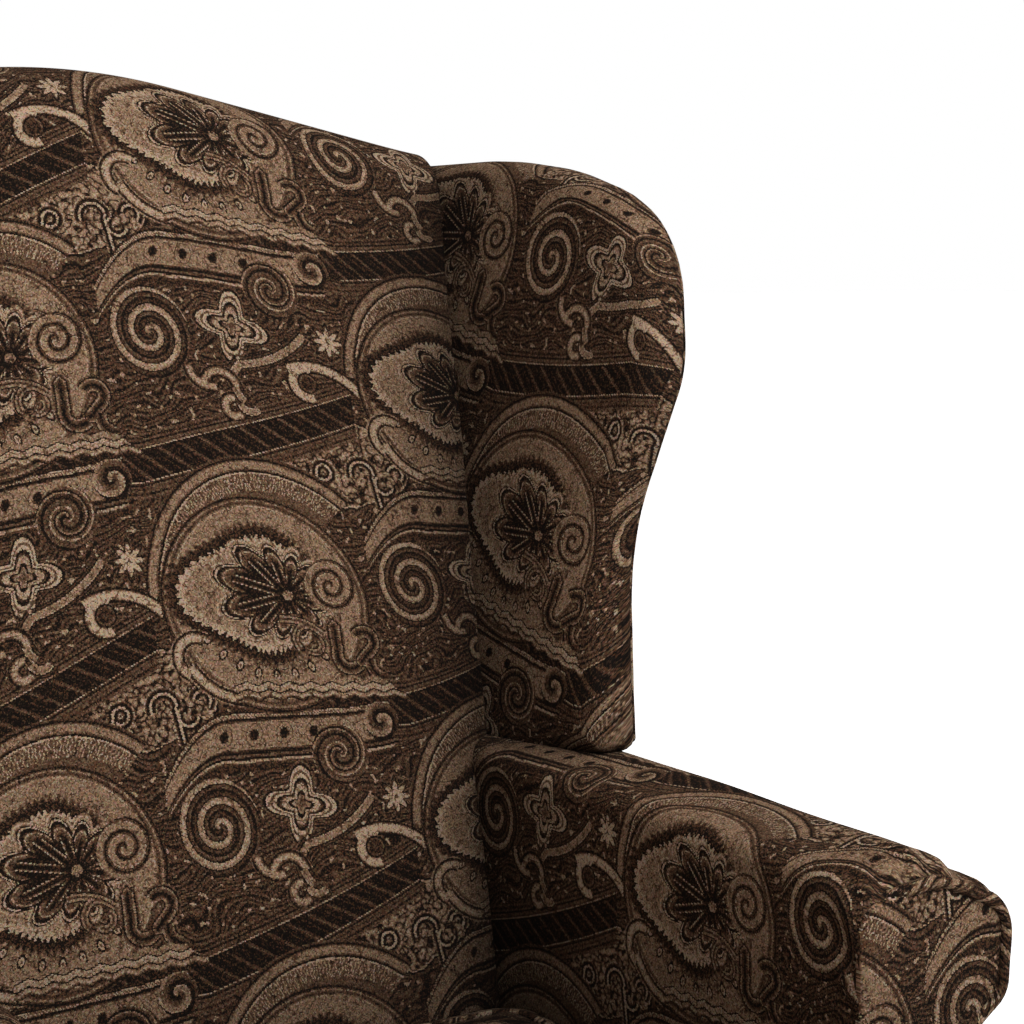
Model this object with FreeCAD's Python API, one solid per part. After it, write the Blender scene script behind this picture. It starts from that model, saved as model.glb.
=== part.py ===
import FreeCAD, Part
import math
import os

from FreeCAD import Vector

# A wingback armchair, in millimetres. X runs across, the chair faces -Y and Z is up.
# It is built with Y = 0 on the line where the inside back meets the seat cushion, and
# then moved so that its origin is the middle of its footprint on the floor.
# Left and right are the sitter's: left is +X.

# Heights above the floor
leg_height = 185.0
deck_height = 345.0
seat_top = 467.0
arm_height = 634.0
crest_height = 1156.0

# The inside back
back_rake = 17.5
back_half_low = 246.7
back_spread = 0.099
back_side_fall = 24.0
back_crown = 8.0
back_tuck = 3.0
crest_slope = 0.217
crest_radius = 480.0
crest_roll = 38.0
crest_depth = 46.0

# The outside back, a plane that leans less than the inside
rear_low = 127.0
rear_slope = 0.186

# The arms
arm_inner = 256.0
arm_outer = 340.0
arm_rear_taper = 12.0
arm_front = 380.0
roll_reach = 38.0
roll_rear_taper = 30.0
roll_depth = 106.0
arm_crown = 15.0
arm_rise = 11.0

# The wings
wing_flare = 0.0875
wing_thickness = 42.0
wing_edge_round = 19.0
wing_drop = 5.0

# The seat
seat_front = 495.0
front_corner = 18.0
ear_half = 348.0
ear_back = 389.0
cushion_front = 512.0
cushion_gap = 1.7
cushion_rest = 0.3
boxing_height = 112.0
cushion_crown = 20.0
crown_inset = 45.0
cushion_corner = 22.0
cushion_pull = 6.0

# Cloth, wadding and foam
cloth = 3.0
thin_cloth = 2.0
back_foam_depth = 68.0
arm_pad = 22.0
wing_edge_pad = 13.0
welt_radius = 4.5
cushion_welt_radius = 4.0

# Wood
rail_thickness = 28.0
rail_top = 300.0
post_width = 30.0
board_thickness = 20.0
crest_rail_height = 62.0
wing_frame_thickness = 18.0
wing_rib = 42.0
block_leg = 92.0
block_height = 45.0
stretcher_height = 40.0

# Legs and their hardware
leg_top = 62.0
foot_radius = 27.0
ankle_radius = 14.0
rear_foot = 36.0
rear_leg_kick = 62.0
bolt_radius = 4.0
bolt_in_leg = 38.0
bolt_offset = 10.0
washer_radius = 11.0
nut_radius = 7.5
glide_radius = 11.0
glide_height = 3.0
screw_radius = 2.2
screw_length = 34.0

# Springs and webbing
spring_wire = 3.8
spring_count = 5
spring_pitch = 24.0
spring_width = 46.0
clip_size = 16.0
strap_width = 50.0
strap_thickness = 2.0

# The zip of the cushion
zip_length = 400.0
zip_width = 6.0
zip_thickness = 1.6
zip_groove = 16.0
zip_depth = 7.0
slider_size = 9.0

# Fit
clear = 0.4
beyond = 60.0

rake = math.tan(math.radians(back_rake))
border_back = seat_front - cloth
wing_pad = wing_thickness - wing_frame_thickness - 2 * cloth
welt_line = 1.0


# Planes that the outline is made of

def face_y(z):
    """Y of the middle of the inside back at height z."""
    return (z - seat_top) * rake


def rear_y(z):
    """Y of the outside back at height z."""
    return rear_low + (z - leg_height) * rear_slope


def half_width(z):
    """Half the width of the inside back at height z."""
    return back_half_low + (z - deck_height) * back_spread


def crest_z(x):
    """Height of the crest at x: an arc in the middle, then straight slopes."""
    turn = math.atan(crest_slope)
    arc_end = crest_radius * math.sin(turn)
    x = abs(x)
    if x < arc_end:
        return crest_height - crest_radius + math.sqrt(crest_radius ** 2 - x ** 2)
    return crest_height - crest_radius * (1 - math.cos(turn)) - (x - arc_end) * crest_slope


def wing_x(y, z):
    """X of the inner plane of a wing."""
    return half_width(z) + wing_flare * (face_y(z) + back_side_fall - y)


# Outlines with rounded corners

def corner_points(before, corner, after, radius):
    """Start, middle and end of the arc that rounds a corner."""
    back = Vector(before[0] - corner[0], before[1] - corner[1], 0).normalize()
    ahead = Vector(after[0] - corner[0], after[1] - corner[1], 0).normalize()
    half = math.acos(max(-1.0, min(1.0, back.dot(ahead)))) / 2
    here = Vector(corner[0], corner[1], 0)
    reach = radius / math.tan(half)
    bisector = (back + ahead).normalize()
    middle = here + bisector * (radius / math.sin(half) - radius)
    return here + back * reach, middle, here + ahead * reach


def outline_edges(corners, place, closed=True):
    """Lines and arcs through corners (a, b, radius), put in space by place(a, b)."""
    count = len(corners)
    cuts = []
    for i, corner in enumerate(corners):
        inner = closed or 0 < i < count - 1
        if corner[2] > 0 and inner:
            cuts.append(corner_points(corners[i - 1], corner, corners[(i + 1) % count], corner[2]))
        else:
            cuts.append((Vector(corner[0], corner[1], 0),))
    edges = []
    for i, cut in enumerate(cuts):
        if len(cut) == 3:
            start, middle, end = [place(p.x, p.y) for p in cut]
            edges.append(Part.Arc(start, middle, end).toShape())
        if closed or i < count - 1:
            following = cuts[(i + 1) % count][0]
            start = place(cut[-1].x, cut[-1].y)
            end = place(following.x, following.y)
            edges.append(Part.LineSegment(start, end).toShape())
    return edges


def outline_wire(corners, place, closed=True):
    return Part.Wire(outline_edges(corners, place, closed))


def grown(corners, grow):
    """The same outline moved outward by grow. Corners run anticlockwise."""
    count = len(corners)
    moved = []
    for i, (a, b, radius) in enumerate(corners):
        last = corners[i - 1]
        following = corners[(i + 1) % count]
        before = Vector(a - last[0], b - last[1], 0).normalize()
        after = Vector(following[0] - a, following[1] - b, 0).normalize()
        out_before = Vector(before.y, -before.x, 0)
        out_after = Vector(after.y, -after.x, 0)
        mitre = (out_before + out_after) * (grow / (1 + out_before.dot(out_after)))
        turn = before.x * after.y - before.y * after.x
        if radius > 0:
            radius = max(radius + math.copysign(1, turn) * grow, 1.0)
        moved.append((a + mitre.x, b + mitre.y, radius))
    return moved


def prism(corners, place, along):
    """A solid: the outline carried along a vector."""
    return Part.Face(outline_wire(corners, place)).extrude(along)


def box(x0, x1, y0, y1, z0, z1):
    return Part.makeBox(x1 - x0, y1 - y0, z1 - z0, Vector(x0, y0, z0))


def loft(wires):
    return Part.makeLoft(wires, True, True)


def mirrored(shape):
    return shape.mirror(Vector(0, 0, 0), Vector(1, 0, 0))


def both_sides(name, shape):
    """Stores a left piece and its mirror image."""
    pieces[name + "_left"] = shape
    pieces[name + "_right"] = mirrored(shape)


def side_view(x):
    """Places an outline of the side view at a given x."""
    return lambda y, z: Vector(x, y, z)


def front_view(y):
    return lambda x, z: Vector(x, y, z)


def top_view(z):
    return lambda x, y: Vector(x, y, z)


pieces = {}
wide = 500.0


def behind(inset):
    """Everything behind the rear plane moved forward by inset."""
    low = 0.0
    high = crest_height + beyond
    corners = [
        (rear_y(low) - inset, low, 0),
        (rear_y(high) + wide, low, 0),
        (rear_y(high) + wide, high, 0),
        (rear_y(high) - inset, high, 0),
    ]
    return prism(corners, side_view(-wide), Vector(2 * wide, 0, 0))


# The bodies whose skins are the covers

def back_section(share, grow):
    """One slice of the back: share runs from -1 at one side to 1 at the other."""
    fall = back_side_fall * abs(share) ** 6
    top = crest_z(share * half_width(crest_height)) + grow
    bottom = deck_height + 5.0 - abs(grow)
    knee = seat_top - 12.0

    def at(y, z):
        return Vector(share * (half_width(z) + grow), y, z)

    tuck = at(back_tuck + fall - grow, bottom)
    tuck_top = at(back_tuck + fall - grow, knee)
    shoulder_z = top - crest_roll
    shoulder = at(face_y(shoulder_z) + fall - grow, shoulder_z)
    middle_z = (knee + shoulder_z) / 2
    middle = at(face_y(middle_z) + fall - back_crown - grow, middle_z)
    ridge = at(face_y(top) + crest_depth, top)
    nape_z = top - crest_roll / 2
    nape = at(rear_y(nape_z) + beyond / 4, nape_z)
    heel = at(rear_y(bottom) + beyond / 4, bottom)
    edges = [
        Part.LineSegment(tuck, tuck_top).toShape(),
        Part.Arc(tuck_top, middle, shoulder).toShape(),
        Part.Arc(shoulder, ridge, nape).toShape(),
        Part.LineSegment(nape, heel).toShape(),
        Part.LineSegment(heel, tuck).toShape(),
    ]
    return Part.Wire(edges)


def back_body(grow=0.0):
    shares = [0.0, 0.18, 0.36, 0.6, 0.8, 0.92, 1.0]
    row = [-s for s in reversed(shares[1:])] + shares
    return loft([back_section(share, grow) for share in row])


def arm_corners(crown, rise, taper, low=leg_height):
    """Outline of a left arm, seen from the front."""
    outer = arm_outer - taper * arm_rear_taper
    reach = outer + roll_reach - taper * (roll_rear_taper - arm_rear_taper)
    top = arm_height + crown + rise
    return [
        (arm_inner, low, 0),
        (outer, low, 0),
        (outer + 2.0, arm_height - roll_depth, 14.0),
        (reach - 4.0, arm_height - 0.78 * roll_depth, 20.0),
        (reach, arm_height - 0.25 * roll_depth + 0.5 * crown + rise, 27.0),
        (arm_inner + 61.0, top, 40.0),
        (arm_inner, top - 12.0, 17.0),
    ]


def arm_body(grow=0.0, front=0.0, low=leg_height):
    """A left arm: front moves its front end forward, low is the height of its bottom."""
    stations = [
        (-arm_front - front, 0.0, 0.0, 0.0),
        (-arm_front + 0.5, 0.0, 0.0, 0.0),
        (-arm_front + 8.0, 0.62, 0.0, 0.0),
        (-arm_front + 28.0, 1.0, 0.0, 0.0),
        (-60.0, 1.0, 0.6, 0.35),
        (rear_y(arm_height) + beyond / 2, 1.0, 1.0, 1.0),
    ]
    wires = []
    for y, crown, rise, taper in stations:
        corners = arm_corners(crown * arm_crown, rise * arm_rise, taper, low)
        wires.append(outline_wire(grown(corners, grow), front_view(y)))
    return loft(wires)


def wing_corners():
    """Outline of a wing, seen from the side: (y, z, radius)."""
    foot = arm_height + arm_crown + 5.0
    rear = rear_y(crest_height) + 40.0
    top = crest_z(half_width(crest_height)) - wing_drop
    return [
        (-53.0, foot, 8.0),
        (110.0, foot - 30.0, 0),
        (rear, foot - 36.0, 0),
        (rear, top - 2.0, 0),
        (220.0, top, 400.0),
        (75.0, top - 10.0, 250.0),
        (-38.0, top - 43.0, 112.0),
        (-64.0, (foot + top) / 2 + 60.0, 80.0),
        (-21.0, foot + 150.0, 170.0),
    ]


def on_wing(depth):
    """Places a side outline on a left wing, depth outward from its inner plane."""
    return lambda y, z: Vector(wing_x(y, z) + depth, y, z)


def wing_body(inset):
    """A left wing as slices from its inner to its outer face. Each slice: depth and tuck shares."""
    slices = [
        (-0.07, 2.2),
        (0.0, 0.85),
        (0.07, 0.4),
        (0.2, 0.1),
        (0.4, 0.0),
        (0.65, 0.0),
        (0.85, 0.15),
        (1.0, 0.6),
    ]
    wires = []
    for depth, tuck in slices:
        across = inset + depth * (wing_thickness - 2 * inset)
        corners = grown(wing_corners(), -inset - tuck * wing_edge_round)
        wires.append(outline_wire(corners, on_wing(across)))
    return loft(wires)


back_full = back_body(0.0)
back_inner = back_body(-cloth)
back_clear = back_body(clear)
arm_full = arm_body(0.0)
arm_inside = arm_body(-cloth, 5.0, leg_height - beyond)
arm_clear = arm_body(clear)
behind_skin = behind(cloth)
behind_all = behind(0.0)


# Wooden frame

def seat_outline(front, half, rear_half, rear, corner):
    """Plan of the seat box."""
    return [
        (-half, -front, corner),
        (half, -front, corner),
        (rear_half, rear, 0),
        (-rear_half, rear, 0),
    ]


rail_back = -border_back + rail_thickness
border_half = arm_outer - cloth
border_corner = front_corner - cloth


def front_rail():
    """Front rail, with its outer corners rounded for the cover."""
    plan = seat_outline(border_back, border_half, border_half, rail_back, border_corner)
    return prism(plan, top_view(leg_height), Vector(0, 0, rail_top - leg_height))


def rear_rail_y():
    return rear_y(leg_height) - cloth


def rear_rail():
    half = arm_outer - arm_rear_taper - cloth - rail_thickness
    return box(-half, half, rear_rail_y() - rail_thickness, rear_rail_y(), leg_height, rail_top)


def side_rail():
    """Left side rail: it follows the taper of the outside."""
    out_front = arm_outer - cloth
    out_rear = arm_outer - arm_rear_taper - cloth
    corners = [
        (out_front - rail_thickness, rail_back, 0),
        (out_front, rail_back, 0),
        (out_rear, rear_rail_y(), 0),
        (out_rear - rail_thickness, rear_rail_y(), 0),
    ]
    return prism(corners, top_view(leg_height), Vector(0, 0, rail_top - leg_height))


front_leg_x = arm_outer - cloth - leg_top / 2 - 3.0
front_leg_y = -border_back + leg_top / 2 + 3.0
rear_leg_x = arm_outer - arm_rear_taper - cloth - rail_thickness - 8.0
rear_leg_y = rear_rail_y() - rail_thickness - 8.0


def rail_line_x(y):
    """Inner face of a left side rail at y."""
    share = (y - rail_back) / (rear_rail_y() - rail_back)
    return arm_outer - cloth - rail_thickness - share * arm_rear_taper


def corner_block(y, toward):
    """A left glue block against the rail at y; toward is +1 at the front and -1 at the rear."""
    x = rail_line_x(y)
    tip = y + toward * block_leg
    corners = [(x, y, 0), (rail_line_x(tip), tip, 0), (x - block_leg, y, 0)]
    return prism(corners, top_view(leg_height), Vector(0, 0, block_height))


def back_post():
    """Left back post: a wedge-shaped board from the rear rail to the crest rail."""
    low = rail_top
    high = crest_z(half_width(crest_height)) - crest_rail_height - 30.0

    def slab(x_inset):
        def place(y, z):
            return Vector(half_width(z) - cloth - x_inset, y, z)
        return place

    corners = [
        (back_foam_depth + back_tuck, low, 0),
        (rear_y(low) - cloth, low, 0),
        (rear_y(high) - cloth, high, 0),
        (face_y(high) + back_foam_depth, high, 0),
        (face_y(seat_top) + back_foam_depth, seat_top, 0),
    ]
    outer = outline_wire(corners, slab(0.0))
    inner = outline_wire(corners, slab(post_width))
    return loft([inner, outer])


def crest_rail():
    """Arched board on top of the back posts."""
    low = crest_z(half_width(crest_height)) - crest_rail_height - 30.0
    half = half_width(low) - cloth
    cover = crest_roll - 4.0
    turn = math.atan(crest_slope)
    peak = crest_height - cover + crest_radius * (1 / math.cos(turn) - 1)
    corners = [
        (-half, low, 0),
        (half, low, 0),
        (half, crest_z(half) - cover, 0),
        (0.0, peak, crest_radius - cover),
        (-half, crest_z(half) - cover, 0),
    ]
    board = prism(corners, front_view(0.0), Vector(0, wide, 0))
    high = crest_height + beyond
    depth_corners = [
        (face_y(low) + back_foam_depth, low, 0),
        (rear_y(low) - cloth, low, 0),
        (rear_y(high) - cloth, high, 0),
        (face_y(low) + back_foam_depth + (high - low) * rear_slope, high, 0),
    ]
    depth = prism(depth_corners, side_view(-wide), Vector(2 * wide, 0, 0))
    return board.common(depth)


def lower_back_rail():
    """Cross rail between the posts, just above the deck."""
    low = deck_height + 45.0
    high = low + 60.0
    half = half_width(low) - cloth - post_width
    front = back_foam_depth + back_tuck
    return box(-half, half, front, front + rail_thickness, low, high)


def arm_stump():
    """Left front scroll board, which stands on the side rail."""
    corners = grown(arm_corners(0.0, 0.0, 0.0), -8.0)
    board = prism(corners, front_view(-arm_front + cloth), Vector(0, rail_thickness, 0))
    return board.cut(box(0, wide, -wide, 0, 0, rail_top))


stump_back = -arm_front + cloth + rail_thickness
board_top = arm_height - 34.0
board_inner = arm_inner + arm_pad
board_outer = arm_outer + roll_reach - 26.0


def arm_board():
    """Left arm board, from the stump to the outside back."""
    corners = [
        (board_inner, stump_back, 0),
        (board_outer, stump_back, 0),
        (board_outer - roll_rear_taper, rear_y(board_top) - cloth - rail_thickness, 0),
        (board_inner, rear_y(board_top) - cloth - rail_thickness, 0),
    ]
    return prism(corners, top_view(board_top - board_thickness), Vector(0, 0, board_thickness))


def arm_stretcher():
    low = deck_height + 5.0
    return box(board_inner, board_inner + board_thickness, stump_back, rear_y(low) - cloth,
               low, low + stretcher_height)


def wing_frame():
    """Left wing frame: a ring of board that stands on the arm board."""
    start = wing_pad + cloth
    edge = cloth + wing_edge_pad
    outline = []
    for y, z, radius in grown(wing_corners(), -edge):
        outline.append((y, board_top if z < arm_height + wing_rib else z, radius))
    board = prism(outline, on_wing(start), Vector(wing_frame_thickness, 0, 0))
    window = prism(grown(wing_corners(), -edge - wing_rib), on_wing(0.0), Vector(wide, 0, 0))
    sill = box(0, wide, -wide, wide, 0, arm_height + wing_rib)
    window = window.cut([behind(cloth + wing_rib), sill])
    return board.cut([window, behind_skin])


# Legs

def rounded_square(centre_x, centre_y, half, radius, z):
    corners = [(-half, -half, radius), (half, -half, radius), (half, half, radius), (-half, half, radius)]
    return outline_wire(corners, lambda a, b: Vector(centre_x + a, centre_y + b, z))


def front_leg():
    """Left cabriole leg. Each slice: height share, half width, roundness share, outward step."""
    slices = [
        (1.0, leg_top / 2, 0.15, 0.0),
        (0.9, leg_top / 2 + 1.0, 0.3, 2.5),
        (0.74, leg_top / 2 - 3.0, 0.6, 7.0),
        (0.55, leg_top / 2 - 11.0, 0.85, 4.5),
        (0.36, ankle_radius + 2.0, 0.95, -3.0),
        (0.22, ankle_radius, 0.97, -4.0),
        (0.14, ankle_radius + 3.0, 0.97, 0.0),
        (0.09, foot_radius - 2.0, 0.97, 4.0),
        (0.05, foot_radius, 0.97, 5.0),
        (0.0, foot_radius - 7.0, 0.97, 5.0),
    ]
    wires = []
    for share, half, roundness, step in slices:
        z = glide_height + share * (leg_height - glide_height)
        wires.append(rounded_square(front_leg_x + step, front_leg_y - step, half, half * roundness, z))
    return Part.makeLoft(wires, True, False)


def rear_leg():
    """Left rear leg: square, tapered and swept back."""
    wires = []
    steps = 5
    for i in range(steps + 1):
        share = i / steps
        z = leg_height - share * (leg_height - glide_height)
        half = (leg_top * 0.42) * (1 - share) + rear_foot / 2 * share
        kick = rear_leg_kick * share ** 1.6
        wires.append(rounded_square(rear_leg_x, rear_leg_y + kick, half, 4.0, z))
    return loft(wires)


def glide(x, y):
    return Part.makeCylinder(glide_radius, glide_height, Vector(x, y, 0))


def hanger_bolt(x, y):
    """Stud from a leg through its corner block, with washer and nut."""
    top = leg_height + block_height
    stud = Part.makeCylinder(bolt_radius, bolt_in_leg + block_height + 12.0,
                             Vector(x, y, leg_height - bolt_in_leg))
    washer = Part.makeCylinder(washer_radius, 1.6, Vector(x, y, top))
    hexagon = []
    for i in range(6):
        turn = math.radians(60 * i)
        hexagon.append((x + nut_radius * math.cos(turn), y + nut_radius * math.sin(turn), 0))
    nut = prism(hexagon, top_view(top + 1.6), Vector(0, 0, 6.5))
    return stud.fuse([washer, nut])


def block_screws(y, toward):
    """Two screws that hold the left corner block at y to its two rails."""
    x = rail_line_x(y)
    z = leg_height + block_height / 2
    into_side = Vector(x - screw_length / 2, y + toward * block_leg / 2, z)
    into_end = Vector(x - block_leg / 2, y + toward * screw_length / 2, z + 10.0)
    return [
        Part.makeCylinder(screw_radius, screw_length, into_side, Vector(1, 0, 0)),
        Part.makeCylinder(screw_radius, screw_length, into_end, Vector(0, -toward, 0)),
    ]


# Springs and webbing

spring_z = rail_top + clip_size / 4
spring_start = rail_back - rail_thickness / 2
spring_end = rear_rail_y() - rail_thickness / 2


def spring_places():
    spread = 2 * (half_width(rail_top) - cloth - post_width - 0.7 * spring_width)
    gap = spread / (spring_count - 1)
    return [-spread / 2 + i * gap for i in range(spring_count)]


def seat_spring(x):
    """One zigzag spring: straight cross runs joined by half turns of two arcs each."""
    span = spring_end - spring_start
    runs = int(span / (spring_pitch / 2)) // 2 * 2
    pitch = span / runs
    radius = pitch / 2
    half = spring_width / 2 - radius
    edges = []
    start = Vector(x, spring_start, spring_z)
    side = 1
    for i in range(runs):
        y = spring_start + i * pitch
        reach = Vector(x + side * half, y, spring_z)
        edges.append(Part.LineSegment(start, reach).toShape())
        centre = Vector(x + side * half, y + radius, spring_z)
        diagonal = radius * math.sqrt(0.5)
        apex = centre + Vector(side * radius, 0, 0)
        first = centre + Vector(side * diagonal, -diagonal, 0)
        second = centre + Vector(side * diagonal, diagonal, 0)
        landing = centre + Vector(0, radius, 0)
        edges.append(Part.Arc(reach, first, apex).toShape())
        edges.append(Part.Arc(apex, second, landing).toShape())
        start = landing
        side = -side
    edges.append(Part.LineSegment(start, Vector(x, spring_end, spring_z)).toShape())
    path = Part.Wire(edges)
    ring = Part.Wire([Part.Circle(Vector(x, spring_start, spring_z), Vector(1, 0, 0), spring_wire / 2).toShape()])
    return path.makePipeShell([ring], True, False)


def spring_clip(x, y):
    """A folded clip on a rail that holds the end run of a spring."""
    outer = box(x - clip_size / 2, x + clip_size / 2, y - clip_size / 2, y + clip_size / 2,
                rail_top, rail_top + clip_size / 2)
    groove = Part.makeCylinder(spring_wire / 2, clip_size * 2, Vector(x - clip_size, y, spring_z), Vector(1, 0, 0))
    return outer.cut(groove)


def cross_straps():
    """Webbing straps across the back posts."""
    straps = []
    for share in (0.2, 0.42, 0.64, 0.86):
        z = seat_top + share * (crest_height - seat_top - 160.0)
        half = half_width(z) - 2 * cloth
        lean = strap_width * math.cos(math.radians(back_rake)) / 2
        corners = []
        for high in (-lean, lean):
            corners.append((face_y(z + high) + back_foam_depth - strap_thickness, z + high, 0))
        for high in (lean, -lean):
            corners.append((face_y(z + high) + back_foam_depth, z + high, 0))
        straps.append(prism(corners, side_view(-half), Vector(2 * half, 0, 0)))
    return straps


def upright_straps():
    """Webbing straps from the lower back rail to the crest rail, in front of the cross straps."""
    low = seat_top - 60.0
    high = crest_z(0) - crest_rail_height - 40.0
    front = back_foam_depth - 2 * strap_thickness
    corners = [
        (face_y(seat_top) + front, low, 0),
        (face_y(seat_top) + front + strap_thickness, low, 0),
        (face_y(seat_top) + front + strap_thickness, seat_top, 0),
        (face_y(high) + front + strap_thickness, high, 0),
        (face_y(high) + front, high, 0),
        (face_y(seat_top) + front, seat_top, 0),
    ]
    straps = []
    for x in (-110.0, 0.0, 110.0):
        straps.append(prism(corners, side_view(x - strap_width / 2), Vector(strap_width, 0, 0)))
    return straps


# Foam

def back_foam():
    """Foam of the inside back, in front of the straps."""
    high = crest_height + beyond
    front = -2 * strap_thickness + back_foam_depth
    low = deck_height
    corners = [
        (-wide, low, 0),
        (face_y(seat_top) + front, low, 0),
        (face_y(seat_top) + front, seat_top, 0),
        (face_y(high) + front, high, 0),
        (-wide, high, 0),
    ]
    room = prism(corners, side_view(-wide), Vector(2 * wide, 0, 0))
    return back_inner.common(room)


def crest_wrap():
    """Wadding over the crest rail, between the foam and the outside back."""
    high = crest_height + beyond
    low = crest_z(half_width(crest_height)) - crest_rail_height - 30.0
    front = -2 * strap_thickness + back_foam_depth
    corners = [
        (face_y(low) + front, low, 0),
        (rear_y(low) - cloth, low, 0),
        (rear_y(high) - cloth, high, 0),
        (face_y(high) + front, high, 0),
    ]
    room = prism(corners, side_view(-wide), Vector(2 * wide, 0, 0))
    return back_inner.common(room)


def arm_foam():
    """Foam on the inside and over the roll of a left arm."""
    taper = roll_rear_taper
    corners = [
        (board_inner, -wide, 0),
        (board_outer, stump_back, 0),
        (board_outer - taper, rear_y(board_top), 0),
        (board_inner, rear_y(board_top) + beyond, 0),
    ]
    hollow = prism(corners, top_view(0.0), Vector(0, 0, board_top))
    below = box(0, wide, -wide, wide, 0, deck_height + 3.0)
    return arm_inside.cut([hollow, below, behind_skin])


def wing_foam(frame):
    """Foam of a left wing, round the inside and the front edge of its frame."""
    inner = wing_body(cloth)
    window = prism(grown(wing_corners(), -cloth - wing_edge_pad), on_wing(wing_pad + cloth),
                   Vector(wide, 0, 0))
    return inner.cut([window, frame, arm_clear, back_clear, behind_skin])


# Covers

def inside_back_cover():
    return back_full.cut([back_inner, behind_skin])


def arm_skin():
    return arm_full.cut([arm_inside, behind_skin, back_clear])


def under_roll():
    """The room below the roll on the outer side of a left arm."""
    top = arm_height - roll_depth + 2.0
    return box(arm_inner + 40.0, wide, -wide, wide, 0, top)


def front_border():
    """Cover of the front rail, turned round both corners up to the arm fronts."""
    along = Vector(0, 0, deck_height - thin_cloth - leg_height)
    outer = prism(seat_outline(seat_front, arm_outer, arm_outer, 0.0, front_corner),
                  top_view(leg_height), along)
    inner = prism(seat_outline(border_back, border_half, border_half, 1.0, border_corner),
                  top_view(leg_height), along)
    return outer.cut([inner, box(-wide, wide, -arm_front - cloth, wide, 0, wide)])


def deck_plan(grow, low, height, rear):
    """T-shaped slab of the seat deck."""
    ears = prism(seat_outline(seat_front - grow, arm_outer - grow, arm_outer - grow, -arm_front - cloth,
                              front_corner - grow), top_view(low), Vector(0, 0, height))
    neck_half = arm_inner - clear
    neck = box(-neck_half, neck_half, -arm_front - cloth - 1.0, rear, low, low + height)
    return ears.fuse(neck).removeSplitter()


def front_roll():
    """Foam roll over the clips of the front rail, under the deck cloth."""
    low = rail_top + clip_size / 2
    plan = seat_outline(border_back, border_half, border_half, rail_back, border_corner)
    return prism(plan, top_view(low), Vector(0, 0, deck_height - thin_cloth - low))


def dust_cover():
    sheet = box(-arm_outer + 18.0, arm_outer - 18.0, -border_back + 6.0, rear_rail_y() - 6.0,
                leg_height - 1.2, leg_height)
    reach = leg_top / 2 + 3.0
    gaps = []
    for x in (-1, 1):
        gaps.append(box(x * front_leg_x - reach, x * front_leg_x + reach, front_leg_y - reach, front_leg_y + reach,
                        0, wide))
        gaps.append(box(x * rear_leg_x - reach, x * rear_leg_x + reach, rear_leg_y - reach, rear_leg_y + reach,
                        0, wide))
    return sheet.cut(gaps)


def welt_path():
    """Line of the piping round a left arm front: from the inner top corner to the seat."""
    ring = grown(arm_corners(0.0, 0.0, 0.0), -welt_line)
    top = ring[6]
    start = (top[0] + 12.0, top[1] + 12.0 * 12.0 / 61.0, 0)
    end = (ring[1][0], deck_height + 3.0, 0)
    return [start, ring[5], ring[4], ring[3], ring[2], end]


def arm_welt():
    corners = welt_path()
    y = -arm_front - cloth / 2
    path = outline_wire(corners, front_view(y), False)
    first = path.OrderedEdges[0]
    start = first.valueAt(first.FirstParameter)
    along = first.tangentAt(first.FirstParameter)
    ring = Part.Wire([Part.Circle(start, along, welt_radius).toShape()])
    return path.makePipeShell([ring], True, False)


def arm_front_panel(welt):
    corners = arm_corners(0.0, 0.0, 0.0)
    panel = prism(corners, front_view(-arm_front - cloth), Vector(0, cloth, 0))
    return panel.cut([welt, box(0, wide, -wide, wide, 0, deck_height)])


# The loose cushion

cushion_low = deck_height + cushion_rest
cushion_edge = cushion_low + boxing_height
neck_half = arm_inner - cushion_gap


def cushion_corners(inset=0.0):
    """T-shaped plan of the cushion. Long sides are drawn in between their corners."""
    front = cushion_front - cushion_welt_radius
    ear = ear_half - cushion_welt_radius
    back = ear_back + cushion_welt_radius
    neck = neck_half - cushion_welt_radius
    rear = -cushion_welt_radius
    half = [
        (ear, -front, cushion_corner),
        (ear, -back, cushion_corner / 2),
        (neck, -back, 6.0),
        (neck - cushion_pull * 0.7, (rear - back) / 2, 1200.0),
        (neck, rear, cushion_corner),
    ]
    other = [(-x, y, radius) for x, y, radius in reversed(half)]
    front_middle = [(0.0, -front + cushion_pull, 3000.0)]
    rear_middle = [(0.0, rear - cushion_pull * 0.5, 3000.0)]
    return grown(front_middle + half + rear_middle + other, -inset)


def crown_loft(base, rise, inset):
    """The crowned top of the cushion, above its edge."""
    wires = []
    for share in (0.0, 0.04, 0.14, 0.3, 0.55, 1.0):
        lift = rise * math.sqrt(1 - (1 - share) ** 2)
        wires.append(outline_wire(cushion_corners(inset + share * crown_inset), top_view(base + lift)))
    return loft(wires)


def cushion_top_panel():
    full = crown_loft(cushion_edge, cushion_crown, 0.0)
    lower = crown_loft(cushion_edge - thin_cloth, cushion_crown, 0.0)
    return full.cut(lower)


def cushion_core():
    body = prism(cushion_corners(thin_cloth), top_view(cushion_low + thin_cloth),
                 Vector(0, 0, boxing_height - 2 * thin_cloth))
    dome = crown_loft(cushion_edge - thin_cloth, cushion_crown, thin_cloth)
    return body.fuse(dome).removeSplitter().cut(zip_groove_room(0.0))


def cushion_bottom_panel():
    return prism(cushion_corners(), top_view(cushion_low), Vector(0, 0, thin_cloth))


zip_z = cushion_low + boxing_height / 2
zip_back = -cushion_welt_radius - cushion_pull * 0.5
zip_floor = zip_back - zip_depth + thin_cloth


def zip_groove_room(inset):
    half = zip_length / 2 + 10.0 - inset
    return box(-half, half, zip_back - zip_depth + inset, wide, zip_z - zip_groove / 2 + inset,
               zip_z + zip_groove / 2 - inset)


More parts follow.
